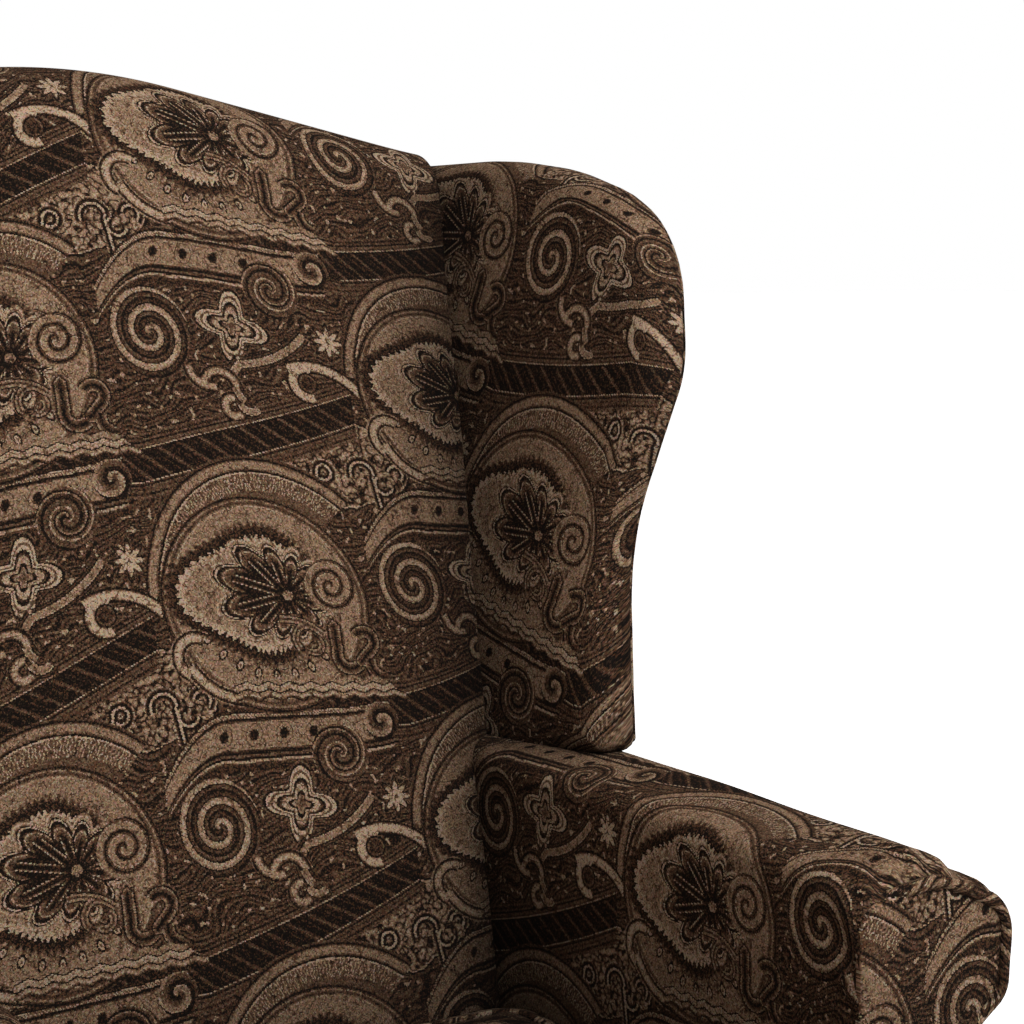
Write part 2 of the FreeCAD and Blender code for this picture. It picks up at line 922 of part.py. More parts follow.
def cushion_boxing():
    """Side band of the cushion, with a lined pocket for the zip in its rear."""
    solid = prism(cushion_corners(), top_view(cushion_low + thin_cloth),
                  Vector(0, 0, boxing_height - 2 * thin_cloth))
    hollow = prism(cushion_corners(thin_cloth), top_view(cushion_low), Vector(0, 0, boxing_height))
    room = zip_groove_room(0.0)
    lining = room.common(solid).cut(zip_groove_room(thin_cloth))
    slot = box(-wide, wide, zip_floor, wide, zip_z - zip_groove / 2 + thin_cloth,
               zip_z + zip_groove / 2 - thin_cloth).common(zip_groove_room(thin_cloth))
    return solid.cut([hollow, room]).fuse(lining).cut(slot).removeSplitter()


def cushion_welt(z):
    """Piping round the cushion at one of its two edges, as a closed tube."""
    path = outline_wire(cushion_corners(-welt_line), top_view(z))
    first = path.OrderedEdges[0]
    start = first.valueAt(first.FirstParameter)
    along = first.tangentAt(first.FirstParameter)
    ring = Part.Wire([Part.Circle(start, along, cushion_welt_radius).toShape()])
    return path.makePipeShell([ring], True, False)


def zip_chain():
    half = zip_length / 2
    return box(-half, half, zip_floor, zip_floor + zip_thickness, zip_z - zip_width / 2, zip_z + zip_width / 2)


def zip_slider():
    """Slider at the closed end of the zip, with its pull hanging down."""
    x = -zip_length / 2 + slider_size
    y = zip_floor + zip_thickness + 0.3
    body = box(x - slider_size / 2, x + slider_size / 2, y, y + 1.8,
               zip_z - zip_width / 2, zip_z + zip_width / 2)
    pull = box(x - 2.5, x + 2.5, y + 1.8, y + 2.6, zip_z - zip_groove / 2 + thin_cloth + 0.4, zip_z + 1.0)
    return body.fuse(pull).removeSplitter()


# Putting the pieces together

def build_frame():
    pieces["front_rail"] = front_rail()
    pieces["rear_rail"] = rear_rail()
    both_sides("side_rail", side_rail())
    bolts = [
        hanger_bolt(front_leg_x - bolt_offset, front_leg_y + bolt_offset),
        hanger_bolt(rear_leg_x - bolt_offset, rear_leg_y - bolt_offset),
    ]
    rear_edge = rear_rail_y() - rail_thickness
    screws = block_screws(rail_back, 1) + block_screws(rear_edge, -1)
    blocks = [b.cut(bolts + screws) for b in (corner_block(rail_back, 1), corner_block(rear_edge, -1))]
    pieces["corner_blocks"] = Part.makeCompound(blocks + [mirrored(b) for b in blocks])
    pieces["leg_bolts"] = Part.makeCompound(bolts + [mirrored(b) for b in bolts])
    pieces["block_screws"] = Part.makeCompound(screws + [mirrored(s) for s in screws])
    all_screws = pieces["block_screws"].Solids
    for name in ("front_rail", "rear_rail", "side_rail_left", "side_rail_right"):
        pieces[name] = pieces[name].cut(all_screws)
    both_sides("front_leg", front_leg().cut(bolts))
    both_sides("rear_leg", rear_leg().cut(bolts))
    glides = [glide(front_leg_x + 5.0, front_leg_y - 5.0), glide(rear_leg_x, rear_leg_y + rear_leg_kick)]
    pieces["glides"] = Part.makeCompound(glides + [mirrored(g) for g in glides])
    both_sides("back_post", back_post())
    pieces["crest_rail"] = crest_rail()
    pieces["lower_back_rail"] = lower_back_rail()
    both_sides("arm_stump", arm_stump())
    both_sides("arm_board", arm_board())
    both_sides("arm_stretcher", arm_stretcher())


def build_suspension():
    springs = [seat_spring(x) for x in spring_places()]
    pieces["seat_springs"] = Part.makeCompound(springs)
    clips = []
    for x in spring_places():
        clips.append(spring_clip(x, spring_start))
        clips.append(spring_clip(x, spring_end))
    pieces["spring_clips"] = Part.makeCompound(clips)
    straps = cross_straps() + upright_straps()
    pieces["back_webbing"] = Part.makeCompound([s.cut(pieces["crest_rail"]) for s in straps])
    pad_low = rail_top + clip_size / 2
    pad_rear = back_foam_depth + back_tuck - 1.0
    pad = deck_plan(cloth, pad_low, deck_height - thin_cloth - pad_low, pad_rear)
    stumps = [pieces["arm_stump_left"], pieces["arm_stump_right"]]
    pieces["front_edge_roll"] = front_roll()
    pieces["deck_pad"] = pad.cut(stumps + [pieces["front_edge_roll"]])
    pieces["deck_cover"] = deck_plan(0.0, deck_height - thin_cloth, thin_cloth, pad_rear).cut(stumps)


def build_upholstery():
    frame = wing_frame()
    both_sides("wing_frame", frame)
    pieces["back_foam"] = back_foam().cut(pieces["crest_rail"])
    wrap = crest_wrap().cut([pieces["crest_rail"], pieces["back_webbing"]])
    pieces["crest_wadding"] = biggest(wrap)
    pieces["inside_back_cover"] = inside_back_cover()
    welt = arm_welt()
    both_sides("arm_welt", welt)
    skin = arm_skin().cut([frame, welt])
    below = under_roll()
    front_room = box(0, wide, -wide, -arm_front, 0, wide + crest_height)
    deck_room = box(0, arm_inner + 40.0, -wide, wide, 0, deck_height + 0.5)
    inside = skin.cut([below, deck_room])
    outside = skin.common(below)
    both_sides("inside_arm_cover", biggest(inside))
    both_sides("outside_arm_cover", biggest(outside))
    both_sides("arm_front_panel", biggest(arm_front_panel(welt)))
    both_sides("arm_foam", biggest(arm_foam().cut([frame, arm_stump(), welt, front_room, back_clear])))
    wing_outer = wing_body(0.0)
    wing_inner = wing_body(cloth)
    wing_skin = wing_outer.cut([wing_inner, frame, arm_clear, back_clear, behind_skin])
    split = prism(grown(wing_corners(), 30.0), on_wing(wing_thickness - cloth), Vector(wide, 0, 0))
    both_sides("inside_wing_cover", biggest(wing_skin.cut(split)))
    both_sides("outside_wing_cover", biggest(wing_skin.common(split)))
    both_sides("wing_foam", biggest(wing_foam(frame)))
    slab = behind_skin.cut(behind_all)
    half = arm_outer - arm_rear_taper
    base = box(-half, half, 0, wide, leg_height, deck_height + 10.0)
    between_arms = box(-arm_inner - 10.0, arm_inner + 10.0, 0, wide, leg_height, arm_height - 40.0)
    bodies = [back_full, wing_outer, mirrored(wing_outer), arm_full, mirrored(arm_full), base, between_arms]
    layers = [body.common(slab) for body in bodies]
    pieces["outside_back_cover"] = biggest(layers[0].fuse(layers[1:]).removeSplitter())
    pieces["front_border"] = front_border()
    pieces["dust_cover"] = dust_cover()


def biggest(shape):
    return max(shape.Solids, key=lambda s: s.Volume)


def build_cushion():
    welts = [cushion_welt(cushion_edge), cushion_welt(cushion_low + cushion_welt_radius)]
    pieces["cushion_welts"] = Part.makeCompound(welts)
    pieces["cushion_top_panel"] = cushion_top_panel().cut(welts)
    pieces["cushion_bottom_panel"] = cushion_bottom_panel().cut(welts)
    pieces["cushion_boxing"] = cushion_boxing().cut(welts)
    pieces["cushion_core"] = cushion_core().cut(welts)
    pieces["zip_chain"] = zip_chain()
    pieces["zip_slider"] = zip_slider()


def export():
    reach = rear_y(crest_height - crest_roll / 2)
    shift = (cushion_front + welt_line - reach) / 2
    os.makedirs("parts", exist_ok=True)
    for name, shape in pieces.items():
        moved = shape.copy()
        moved.translate(Vector(0, shift, 0))
        moved.exportStep("parts/" + name + ".step")
        count = len(shape.Solids)
        if not shape.isValid() or count == 0:
            print("CHECK", name, "valid", shape.isValid(), "solids", count)
    print("shift", round(shift, 3), "pieces", len(pieces))


build_frame()
build_suspension()
build_upholstery()
build_cushion()
export()
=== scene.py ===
import cmath
import functools
import math

import bmesh
import bpy
import numpy as np
from mathutils import Euler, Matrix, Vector


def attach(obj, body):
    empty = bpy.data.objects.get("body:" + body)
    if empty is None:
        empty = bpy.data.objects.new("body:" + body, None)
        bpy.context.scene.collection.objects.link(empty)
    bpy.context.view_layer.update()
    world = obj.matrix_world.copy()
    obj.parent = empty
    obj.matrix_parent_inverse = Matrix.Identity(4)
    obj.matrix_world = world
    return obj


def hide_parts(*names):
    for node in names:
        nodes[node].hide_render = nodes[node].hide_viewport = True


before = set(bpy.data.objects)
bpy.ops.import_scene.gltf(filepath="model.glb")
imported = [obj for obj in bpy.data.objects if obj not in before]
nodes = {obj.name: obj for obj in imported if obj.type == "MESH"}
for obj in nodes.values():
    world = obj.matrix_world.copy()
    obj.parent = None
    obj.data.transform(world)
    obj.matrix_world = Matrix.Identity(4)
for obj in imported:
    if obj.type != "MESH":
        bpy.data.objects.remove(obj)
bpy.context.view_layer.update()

# Sizes of the upholstery, in metres: the same values that the solids are built from.
# Y = SEAT_LINE is the line where the inside back meets the cushion.
SEAT_LINE = 0.104464
REAR_DEPTH = 0.127
REAR_SLOPE = 0.186
LEG = 0.185
DECK = 0.345
SEAT_TOP = 0.467
ARM_HEIGHT = 0.634
CREST = 1.156
RAKE = math.tan(math.radians(17.5))
BACK_HALF = 0.2467
BACK_SPREAD = 0.099
CREST_SLOPE = 0.217
CREST_RADIUS = 0.48
SIDE_FALL = 0.024
ARM_INNER = 0.256
ARM_OUTER = 0.340
ARM_TAPER = 0.012
ARM_FRONT = SEAT_LINE - 0.380
ROLL_REACH = 0.038
ROLL_TAPER = 0.030
ROLL_DEPTH = 0.106
ARM_CROWN = 0.015
ARM_RISE = 0.011
WING_FLARE = 0.0875
WING_THICK = 0.042
WING_ROUND = 0.019
CLOTH = 0.003
SEAT_FRONT = SEAT_LINE - 0.495
CUSHION_FRONT = SEAT_LINE - 0.512
CUSHION_LOW = 0.3453
CUSHION_EDGE = CUSHION_LOW + 0.112
CUSHION_WELT = 0.004
ARM_WELT = 0.0045
EAR_HALF = 0.348
EAR_BACK = SEAT_LINE - 0.389
NECK_HALF = 0.2555
# The covers stand this far in front of the rear plane, and hand-stuffed cloth is this uneven
REAR_GAP = 0.001
UNEVEN = 0.0016


def face_y(z):
    return SEAT_LINE + (z - SEAT_TOP) * RAKE


def rear_y(z):
    return SEAT_LINE + REAR_DEPTH + (z - LEG) * REAR_SLOPE


def half_width(z):
    return BACK_HALF + (z - DECK) * BACK_SPREAD


def crest_z(x):
    turn = math.atan(CREST_SLOPE)
    arc_end = CREST_RADIUS * math.sin(turn)
    x = np.abs(x)
    arc = CREST - CREST_RADIUS + np.sqrt(np.maximum(CREST_RADIUS ** 2 - x ** 2, 0))
    line = CREST - CREST_RADIUS * (1 - math.cos(turn)) - (x - arc_end) * CREST_SLOPE
    return np.where(x < arc_end, arc, line)


CREST_END = float(crest_z(half_width(CREST)))


def wing_x(y, z):
    return half_width(z) + WING_FLARE * (face_y(z) + SIDE_FALL - y)


# Outlines with rounded corners

def grown(corners, grow):
    """The outline moved outward by grow. Corners (a, b, radius) run anticlockwise."""
    moved = []
    for i, (a, b, radius) in enumerate(corners):
        last = corners[i - 1]
        following = corners[(i + 1) % len(corners)]
        before = Vector((a - last[0], b - last[1])).normalized()
        after = Vector((following[0] - a, following[1] - b)).normalized()
        out_before = Vector((before.y, -before.x))
        out_after = Vector((after.y, -after.x))
        mitre = (out_before + out_after) * (grow / (1 + out_before.dot(out_after)))
        turn = before.x * after.y - before.y * after.x
        if radius > 0:
            radius = max(radius + math.copysign(1, turn) * grow, 0.001)
        moved.append((a + mitre.x, b + mitre.y, radius))
    return moved


def corner_arc(before, corner, after, radius, steps):
    here = Vector(corner)
    back = (Vector(before) - here).normalized()
    ahead = (Vector(after) - here).normalized()
    half = math.acos(max(-1.0, min(1.0, back.dot(ahead)))) / 2
    reach = radius / math.tan(half)
    centre = here + (back + ahead).normalized() * (radius / math.sin(half))
    start = here + back * reach - centre
    end = here + ahead * reach - centre
    sweep = start.angle_signed(end)
    points = []
    for i in range(steps + 1):
        spin = -sweep * i / steps
        turned = (start.x * math.cos(spin) - start.y * math.sin(spin),
                  start.x * math.sin(spin) + start.y * math.cos(spin))
        points.append((centre.x + turned[0], centre.y + turned[1]))
    return points


def outline(corners, counts, closed=True, arc_steps=8):
    """Points round a rounded outline: counts[i] steps on the line after corner i."""
    size = len(corners)
    cuts = []
    for i, (a, b, radius) in enumerate(corners):
        if radius > 0 and (closed or 0 < i < size - 1):
            following = corners[(i + 1) % size]
            cuts.append(corner_arc(corners[i - 1][:2], (a, b), following[:2], radius, arc_steps))
        else:
            cuts.append([(a, b)])
    points = []
    for i, cut in enumerate(cuts):
        points += cut
        if closed or i < size - 1:
            start = np.array(cut[-1])
            end = np.array(cuts[(i + 1) % size][0])
            for k in range(1, counts[i]):
                points.append(tuple(start + (end - start) * k / counts[i]))
    return np.array(points)


def line_counts(corners, step):
    """How many steps each line of an outline gets."""
    counts = []
    for i, corner in enumerate(corners):
        following = corners[(i + 1) % len(corners)]
        length = math.hypot(following[0] - corner[0], following[1] - corner[1])
        counts.append(max(1, round(length / step)))
    return counts


# Meshes

def placed(name, data):
    """A new object in the scene."""
    thing = bpy.data.objects.new(name, data)
    bpy.context.scene.collection.objects.link(thing)
    return thing


# The cloth's coordinates, in metres, run from the middle of one leaf of its pattern: a leaf's middle
# on the inside back, the left arm, the left wing, and a spiral's middle on the left arm's front
LEAF_ON_BACK = (0.095, 0.437)
LEAF_ON_ARM = (0.1138, 0.5903)
LEAF_ON_WING = (-0.1555, 0.8107)
WING_SPIN = math.radians(16)
SPIRAL_ON_FRONT = (0.345, 0.545)
SPIRAL_FROM_LEAF = (-0.061, -0.168)


def set_weave(mesh, weave):
    """Stores where on its cloth each vertex lies."""
    layer = mesh.attributes.new("weave", "FLOAT_VECTOR", "POINT")
    layer.data.foreach_set("vector", np.asarray(weave, np.float32).ravel())


def vectors(layer, kind):
    values = np.zeros(len(layer) * 3, np.float32)
    layer.foreach_get(kind, values)
    return values.reshape(-1, 3)


def new_object(name, vertices, faces, weave=None):
    mesh = bpy.data.meshes.new(name)
    mesh.from_pydata([tuple(v) for v in vertices], [], faces)
    mesh.polygons.foreach_set("use_smooth", [True] * len(mesh.polygons))
    if weave is not None:
        set_weave(mesh, weave)
    mesh.update()
    return placed(name, mesh)


def grid(name, points, weave, closed=False):
    """A surface through points[row, column]; closed joins the last column to the first."""
    rows, columns = points.shape[:2]
    index = np.arange(rows * columns).reshape(rows, columns)
    across = np.roll(index, -1, axis=1)
    span = columns if closed else columns - 1
    faces = np.stack([index[:-1, :span], across[:-1, :span], across[1:, :span], index[1:, :span]], -1)
    flat = np.zeros((rows, columns, 3))
    flat[..., :weave.shape[-1]] = weave
    return new_object(name, points.reshape(-1, 3), faces.reshape(-1, 4).tolist(), flat.reshape(-1, 3))


def lengths(points):
    """Distance along each column of points[row, column]."""
    steps = np.linalg.norm(np.diff(points, axis=0), axis=-1)
    return np.concatenate([np.zeros((1,) + steps.shape[1:]), np.cumsum(steps, axis=0)])


def swell(points, seed, size, height):
    """Soft unevenness of hand-stuffed cloth: a smooth height of a few waves at each point."""
    rng = np.random.default_rng(seed)
    total = np.zeros(points.shape[:-1])
    for i in range(7):
        way = rng.normal(size=3)
        way *= (2 * math.pi / size) * rng.uniform(0.5, 1.6) / np.linalg.norm(way)
        total += np.sin(points @ way + rng.uniform(0, 6.28)) / 7
    return total * height


def mirrored(piece, name):
    """The right-hand twin of a left piece."""
    twin = placed(name, piece.data.copy())
    mesh = twin.data
    for layer, kind in ((mesh.vertices, "co"), (mesh.attributes["weave"].data, "vector")):
        layer.foreach_set(kind, (vectors(layer, kind) * np.float32((-1, 1, 1))).ravel())
    mesh.flip_normals()
    mesh.update()
    return twin


def flat_size(piece):
    """Width and length of the cut that a stretched cover was made from."""
    area = sum(face.area for face in piece.data.polygons)
    length = max(piece.dimensions)
    return area / length, length


def dress(piece, body, material, replaced=(), carried_by=()):
    """Puts a finished piece on its body, with its material, and hides the solids that it stands for."""
    piece.data.materials.clear()
    piece.data.materials.append(material)
    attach(piece, body)
    if replaced:
        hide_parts(*replaced)
    if carried_by:
        bpy.context.view_layer.update()
        flat_size(piece)


def tube(name, path, radius, closed=False, twist=0.0, around=12):
    """A round tube along a path, with fabric coordinates along and round it."""
    path = np.asarray(path, float)
    if closed:
        tangents = np.roll(path, -1, axis=0) - np.roll(path, 1, axis=0)
    else:
        tangents = np.gradient(path, axis=0)
    tangents /= np.linalg.norm(tangents, axis=1)[:, None]
    steps = np.linalg.norm(np.diff(path, axis=0), axis=1)
    along = np.concatenate([[0], np.cumsum(steps)])
    normal = np.cross(tangents[0], [0.3, 0.9, 0.2])
    rings = []
    weave = []
    for i in range(len(path)):
        normal = normal - tangents[i] * normal.dot(tangents[i])
        normal /= np.linalg.norm(normal)
        side = np.cross(tangents[i], normal)
        turns = np.linspace(0, 2 * math.pi, around, endpoint=False)
        size = radius * (1 + 0.035 * math.sin(along[i] / 0.0113) + 0.03 * math.sin(along[i] / 0.0051 + 1))
        rings.append(path[i] + size * (np.outer(np.cos(turns), normal) + np.outer(np.sin(turns), side)))
        weave.append(np.stack([along[i] + turns * radius * twist, turns * radius], -1))
    points = np.array(rings)
    if closed:
        points = np.concatenate([points, points[:1]])
        weave.append(weave[-1] + np.array([steps.mean(), 0]))
    return grid(name, points, np.array(weave), closed=True)


def crowded(count, squeeze):
    """Shares from -1 to 1 that stand closer together at both ends."""
    return np.sin(np.linspace(-math.pi / 2, math.pi / 2, count) * squeeze) / math.sin(math.pi / 2 * squeeze)


# The inside back, from the tuck behind the cushion up and over the crest

def three_point_arc(a, b, c, steps):
    """Points of the circle through a, b and c, from a to c, with the plane taken as complex numbers."""
    a, b, c = complex(*a), complex(*b), complex(*c)
    bend = (c - a) / (b - a)
    centre = a + (b - a) * (bend - abs(bend) ** 2) / (bend - bend.conjugate())
    middle = cmath.phase((b - centre) / (a - centre)) % (2 * math.pi)
    end = cmath.phase((c - centre) / (a - centre)) % (2 * math.pi)
    if middle > end:
        end -= 2 * math.pi
    points = centre + (a - centre) * np.exp(1j * end * np.linspace(0, 1, steps))
    return np.stack([points.real, points.imag], -1)


def back_profile(share):
    """One upright line of the inside back, as (y, z)."""
    fall = SIDE_FALL * abs(share) ** 6
    top = float(crest_z(share * half_width(CREST)))
    tuck_y = SEAT_LINE + 0.003 + fall
    knee = SEAT_TOP - 0.012
    shoulder = top - 0.038
    middle = (knee + shoulder) / 2
    low = np.stack([np.full(10, tuck_y), np.linspace(DECK + 0.006, knee, 10)], -1)
    face = three_point_arc((tuck_y, knee), (face_y(middle) + fall - 0.008, middle),
                           (face_y(shoulder) + fall, shoulder), 130)
    nape = top - 0.019
    crest = three_point_arc((face_y(shoulder) + fall, shoulder), (face_y(top) + 0.046, top),
                            (rear_y(nape) + 0.015, nape), 44)
    profile = np.concatenate([low[:-1], face, crest[1:]])
    limit = rear_y(profile[:, 1]) - REAR_GAP
    profile[:, 0] = np.minimum(profile[:, 0], limit)
    return profile


def inside_back():
    columns = []
    for share in crowded(141, 0.86):
        profile = back_profile(share)
        x = share * half_width(profile[:, 1])
        columns.append(np.stack([x, profile[:, 0], profile[:, 1]], -1))
    side = []
    for reach in (0.01, 0.03, 0.07, 0.2):
        edge = columns[-1].copy()
        edge[:, 1] = np.minimum(edge[:, 1] + reach, rear_y(edge[:, 2]) - REAR_GAP)
        side.append(edge)
    other = [e * np.array([-1, 1, 1]) for e in reversed(side)]
    points = np.stack(other + columns + side, 1)
    run = lengths(points[:, [points.shape[1] // 2]])
    weave = np.stack([points[..., 0], np.broadcast_to(run, points.shape[:2])], -1) - LEAF_ON_BACK
    inner = np.abs(points[..., 0]) < half_width(points[..., 2]) - 0.004
    points[..., 1] += swell(points, 3, 0.3, UNEVEN) * inner
    return grid("inside_back", points, weave)


# The arms: a skin round the outline of the arm, in stations from front to rear

def arm_corners(crown, rise, taper, low=LEG):
    outer = ARM_OUTER - taper * ARM_TAPER
    reach = outer + ROLL_REACH - taper * (ROLL_TAPER - ARM_TAPER)
    top = ARM_HEIGHT + crown + rise
    return [
        (ARM_INNER, low, 0),
        (outer, low, 0),
        (outer + 0.002, ARM_HEIGHT - ROLL_DEPTH, 0.014),
        (reach - 0.004, ARM_HEIGHT - 0.78 * ROLL_DEPTH, 0.020),
        (reach, ARM_HEIGHT - 0.25 * ROLL_DEPTH + 0.5 * crown + rise, 0.027),
        (ARM_INNER + 0.061, top, 0.040),
        (ARM_INNER, top - 0.012, 0.017),
    ]


ARM_REAR = rear_y(ARM_HEIGHT) - REAR_GAP
ARM_STATIONS = [
    (ARM_FRONT, 0.0, 0.0, 0.0),
    (ARM_FRONT + 0.004, 0.36, 0.0, 0.0),
    (ARM_FRONT + 0.008, 0.58, 0.0, 0.0),
    (ARM_FRONT + 0.016, 0.85, 0.01, 0.0),
    (ARM_FRONT + 0.028, 1.0, 0.03, 0.01),
    (SEAT_LINE - 0.060, 1.0, 0.6, 0.35),
    (ARM_REAR, 1.0, 1.0, 1.0),
]
ARM_COUNTS = line_counts(arm_corners(0, 0, 0), 0.008)


def arm_ring(y):
    """Outline of the arm at y, with the open bottom left out: from the outer to the inner foot."""
    ys = [s[0] for s in ARM_STATIONS]
    crown, rise, taper = [np.interp(y, ys, [s[k] for s in ARM_STATIONS]) for k in (1, 2, 3)]
    corners = arm_corners(crown * ARM_CROWN, rise * ARM_RISE, taper)
    ring = outline(corners[1:] + corners[:1], ARM_COUNTS[1:], closed=False)
    return np.stack([ring[:, 0], np.full(len(ring), y), ring[:, 1]], -1)


def arm_skin():
    """The whole skin of the left arm, as stations by outline."""
    near = ARM_FRONT + 0.05 * np.linspace(0, 1, 26) ** 1.3
    far = np.linspace(ARM_FRONT + 0.05, ARM_REAR, 66)[1:]
    skin = np.stack([arm_ring(y) for y in np.concatenate([near, far])])
    share = (skin[..., 1] - ARM_FRONT) / (ARM_REAR - ARM_FRONT)
    skin[..., 1] = ARM_FRONT + share * (rear_y(skin[..., 2]) - REAR_GAP - ARM_FRONT)
    return skin


def arm_pieces():
    """The padded inside and the stretched outside of the left arm."""
    skin = arm_skin()
    run = lengths(np.swapaxes(skin, 0, 1)).T
    from_front = skin[..., 1] - ARM_FRONT
    roll_start = int(np.argmax(skin[-1, :, 2] > ARM_HEIGHT - ROLL_DEPTH + 0.002))
    # the cloth of the roll is gathered behind the piping
    over = np.clip((run - run[:, [roll_start]]) / 0.02, 0, 1) * np.clip((skin[..., 2] - 0.52) / 0.04, 0, 1)
    folds = np.sin(run / 0.0042 + 2.2 * np.sin(run / 0.021)) * np.exp(-((from_front - 0.012) / 0.022) ** 2)
    outward = np.zeros_like(skin)
    tangent = np.gradient(skin, axis=1)
    outward[..., 0] = tangent[..., 2]
    outward[..., 2] = -tangent[..., 0]
    outward /= np.linalg.norm(outward, axis=-1)[..., None]
    lift = folds * over * 0.0019 * np.clip(from_front / 0.006, 0, 1)
    lift += swell(skin, 11, 0.2, UNEVEN) * np.clip(from_front / 0.02, 0, 1)
    skin = skin + outward * lift[..., None]
    up = run[:, [-1]] - run + LEG
    weave = np.stack([-skin[..., 1], up], -1) - LEAF_ON_ARM
    inside = grid("inside_arm_left", skin[:, roll_start:], weave[:, roll_start:])
    outer = skin[:, :roll_start + 3].copy()
    outer[:, roll_start:, 0] -= 0.004
    outer_weave = outer[..., 1:]
    outside = grid("outside_arm_left", outer, outer_weave)
    return inside, outside


def arm_panel():
    """The flat front of the left arm, filled from its outline to a line in its middle."""
    ring = arm_ring(ARM_FRONT)
    keep = ring[:, 2] >= DECK - 0.002
    ring = ring[keep]
    spine = ring.copy()
    spine[:, 0] = (ARM_INNER + ARM_OUTER) / 2
    spine[:, 2] = np.clip(ring[:, 2], DECK - 0.002, ARM_HEIGHT - 0.04)
    rows = []
    for share in (-0.01, 0.0, 0.03, 0.08, 0.16, 0.28, 0.45, 0.65, 0.85, 1.0):
        row = ring + (spine - ring) * max(share, 0.0)
        row[:, 1] = ARM_FRONT - CLOTH * min(1.0, (share + 0.01) / 0.12) ** 0.6
        if share < 0:
            row[:, 1] = ARM_FRONT + 0.003
        rows.append(row)
    points = np.stack(rows)
    weave = points[..., [0, 2]] - SPIRAL_ON_FRONT + SPIRAL_FROM_LEAF
    return grid("arm_front_left", points, weave)


def arm_welt():
    """Piping round the front of the left arm."""
    corners = grown(arm_corners(0, 0, 0), -0.001)
    start = (corners[6][0] + 0.012, corners[6][1] + 0.012 * 0.012 / 0.061, 0)
    end = (corners[1][0], DECK + 0.003, 0)
    bends = [start, corners[5], corners[4], corners[3], corners[2], end]
    path = outline(bends, [8, 5, 5, 5, 26, 1], closed=False)
    line = np.stack([path[:, 0], np.full(len(path), ARM_FRONT - CLOTH / 2), path[:, 1]], -1)
    line = resample(line, 0.004)
    line[:, 1] += 0.009 * np.clip(1 - 0.004 * np.arange(len(line)) / 0.036, 0, 1) ** 1.3
    return tube("arm_welt_left", line, ARM_WELT, twist=1.0)


def resample(path, step):
    """The path with even steps."""
    run = np.concatenate([[0], np.cumsum(np.linalg.norm(np.diff(path, axis=0), axis=1))])
    count = int(run[-1] / step) + 1
    places = np.linspace(0, run[-1], count)
    return np.stack([np.interp(places, run, path[:, k]) for k in range(3)], -1)


# The wings: rings from the middle of the inner face, round the edge, to the middle of the outer face

def wing_corners():
    foot = ARM_HEIGHT + ARM_CROWN + 0.005
    top = CREST_END - 0.005
    return [
        (SEAT_LINE - 0.053, foot, 0.008),
        (SEAT_LINE + 0.110, foot - 0.030, 0),
        (rear_y(foot) - 0.002, foot - 0.036, 0),
        (rear_y(top) - 0.002, top - 0.002, 0),
        (SEAT_LINE + 0.155, top, 0.4),
        (SEAT_LINE + 0.075, top - 0.010, 0.25),
        (SEAT_LINE - 0.038, top - 0.043, 0.112),
        (SEAT_LINE - 0.064, (foot + top) / 2 + 0.060, 0.080),
        (SEAT_LINE - 0.021, foot + 0.150, 0.170),
    ]


WING_COUNTS = line_counts(wing_corners(), 0.007)
WING_MIDDLE = (SEAT_LINE + 0.09, 0.87)
# Slices through the wing's thickness: how deep, and how far the rounded edge draws in there
WING_SLICES = [
    (0.0, 0.85), (0.03, 0.6), (0.07, 0.4), (0.13, 0.22), (0.2, 0.1), (0.3, 0.03), (0.4, 0.0), (0.55, 0.0),
    (0.65, 0.0), (0.76, 0.05), (0.85, 0.15), (0.93, 0.33), (1.0, 0.6)]


def wing_rings():
    rings = []
    flats = (0.0, 0.2, 0.36, 0.5, 0.62, 0.72, 0.8, 0.87, 0.93, 0.97)
    for depth, tuck in WING_SLICES:
        flat = outline(grown(wing_corners(), -tuck * WING_ROUND), WING_COUNTS)
        if depth in (0.0, 1.0):
            inner = []
            for share in flats:
                line = np.array(WING_MIDDLE) + (flat - np.array(WING_MIDDLE)) * share
                bulge = 0.005 * (1 - share ** 3)
                inner.append((line, depth * WING_THICK - bulge * (1 if depth == 0 else -0.4)))
            if depth == 0.0:
                rings += inner + [(flat, 0.0)]
            else:
                rings += [(flat, WING_THICK)] + inner[::-1]
        else:
            rings.append((flat, depth * WING_THICK))
    return rings


def wing_pieces():
    points = []
    for flat, depth in wing_rings():
        y, z = flat[:, 0], flat[:, 1]
        points.append(np.stack([wing_x(y, z) + depth, y, z], -1))
    points = np.stack(points)
    y, z = points[..., 1], points[..., 2]
    wrap = np.zeros(points.shape[:2])
    wrap[11:] = np.cumsum(np.linalg.norm(np.diff(points[10:], axis=0), axis=-1), axis=0) * 0.8
    middle = np.array(WING_MIDDLE)
    away = np.stack([y, z], -1) - middle
    away /= np.linalg.norm(away, axis=-1)[..., None] + 1e-6
    h = -y - away[..., 0] * wrap - LEAF_ON_WING[0]
    v = z + away[..., 1] * wrap - LEAF_ON_WING[1]
    turn = (math.cos(WING_SPIN), math.sin(WING_SPIN))
    weave = np.stack([h * turn[0] - v * turn[1], h * turn[1] + v * turn[0]], -1)
    seam = len(points) - 12
    points[:, :, 0] += swell(points, 21, 0.22, UNEVEN)
    inside = grid("inside_wing_left", points[:seam + 1], weave[:seam + 1], closed=True)
    flat_weave = np.stack([y, z], -1)
    outside = grid("outside_wing_left", points[seam:], flat_weave[seam:], closed=True)
    line = np.concatenate([points[seam], points[seam, :1]])
    return inside, outside, tube("wing_seam_left", resample(line, 0.005), 0.0016, around=8)


# Flat covers: outside back, front border, deck and dust cover

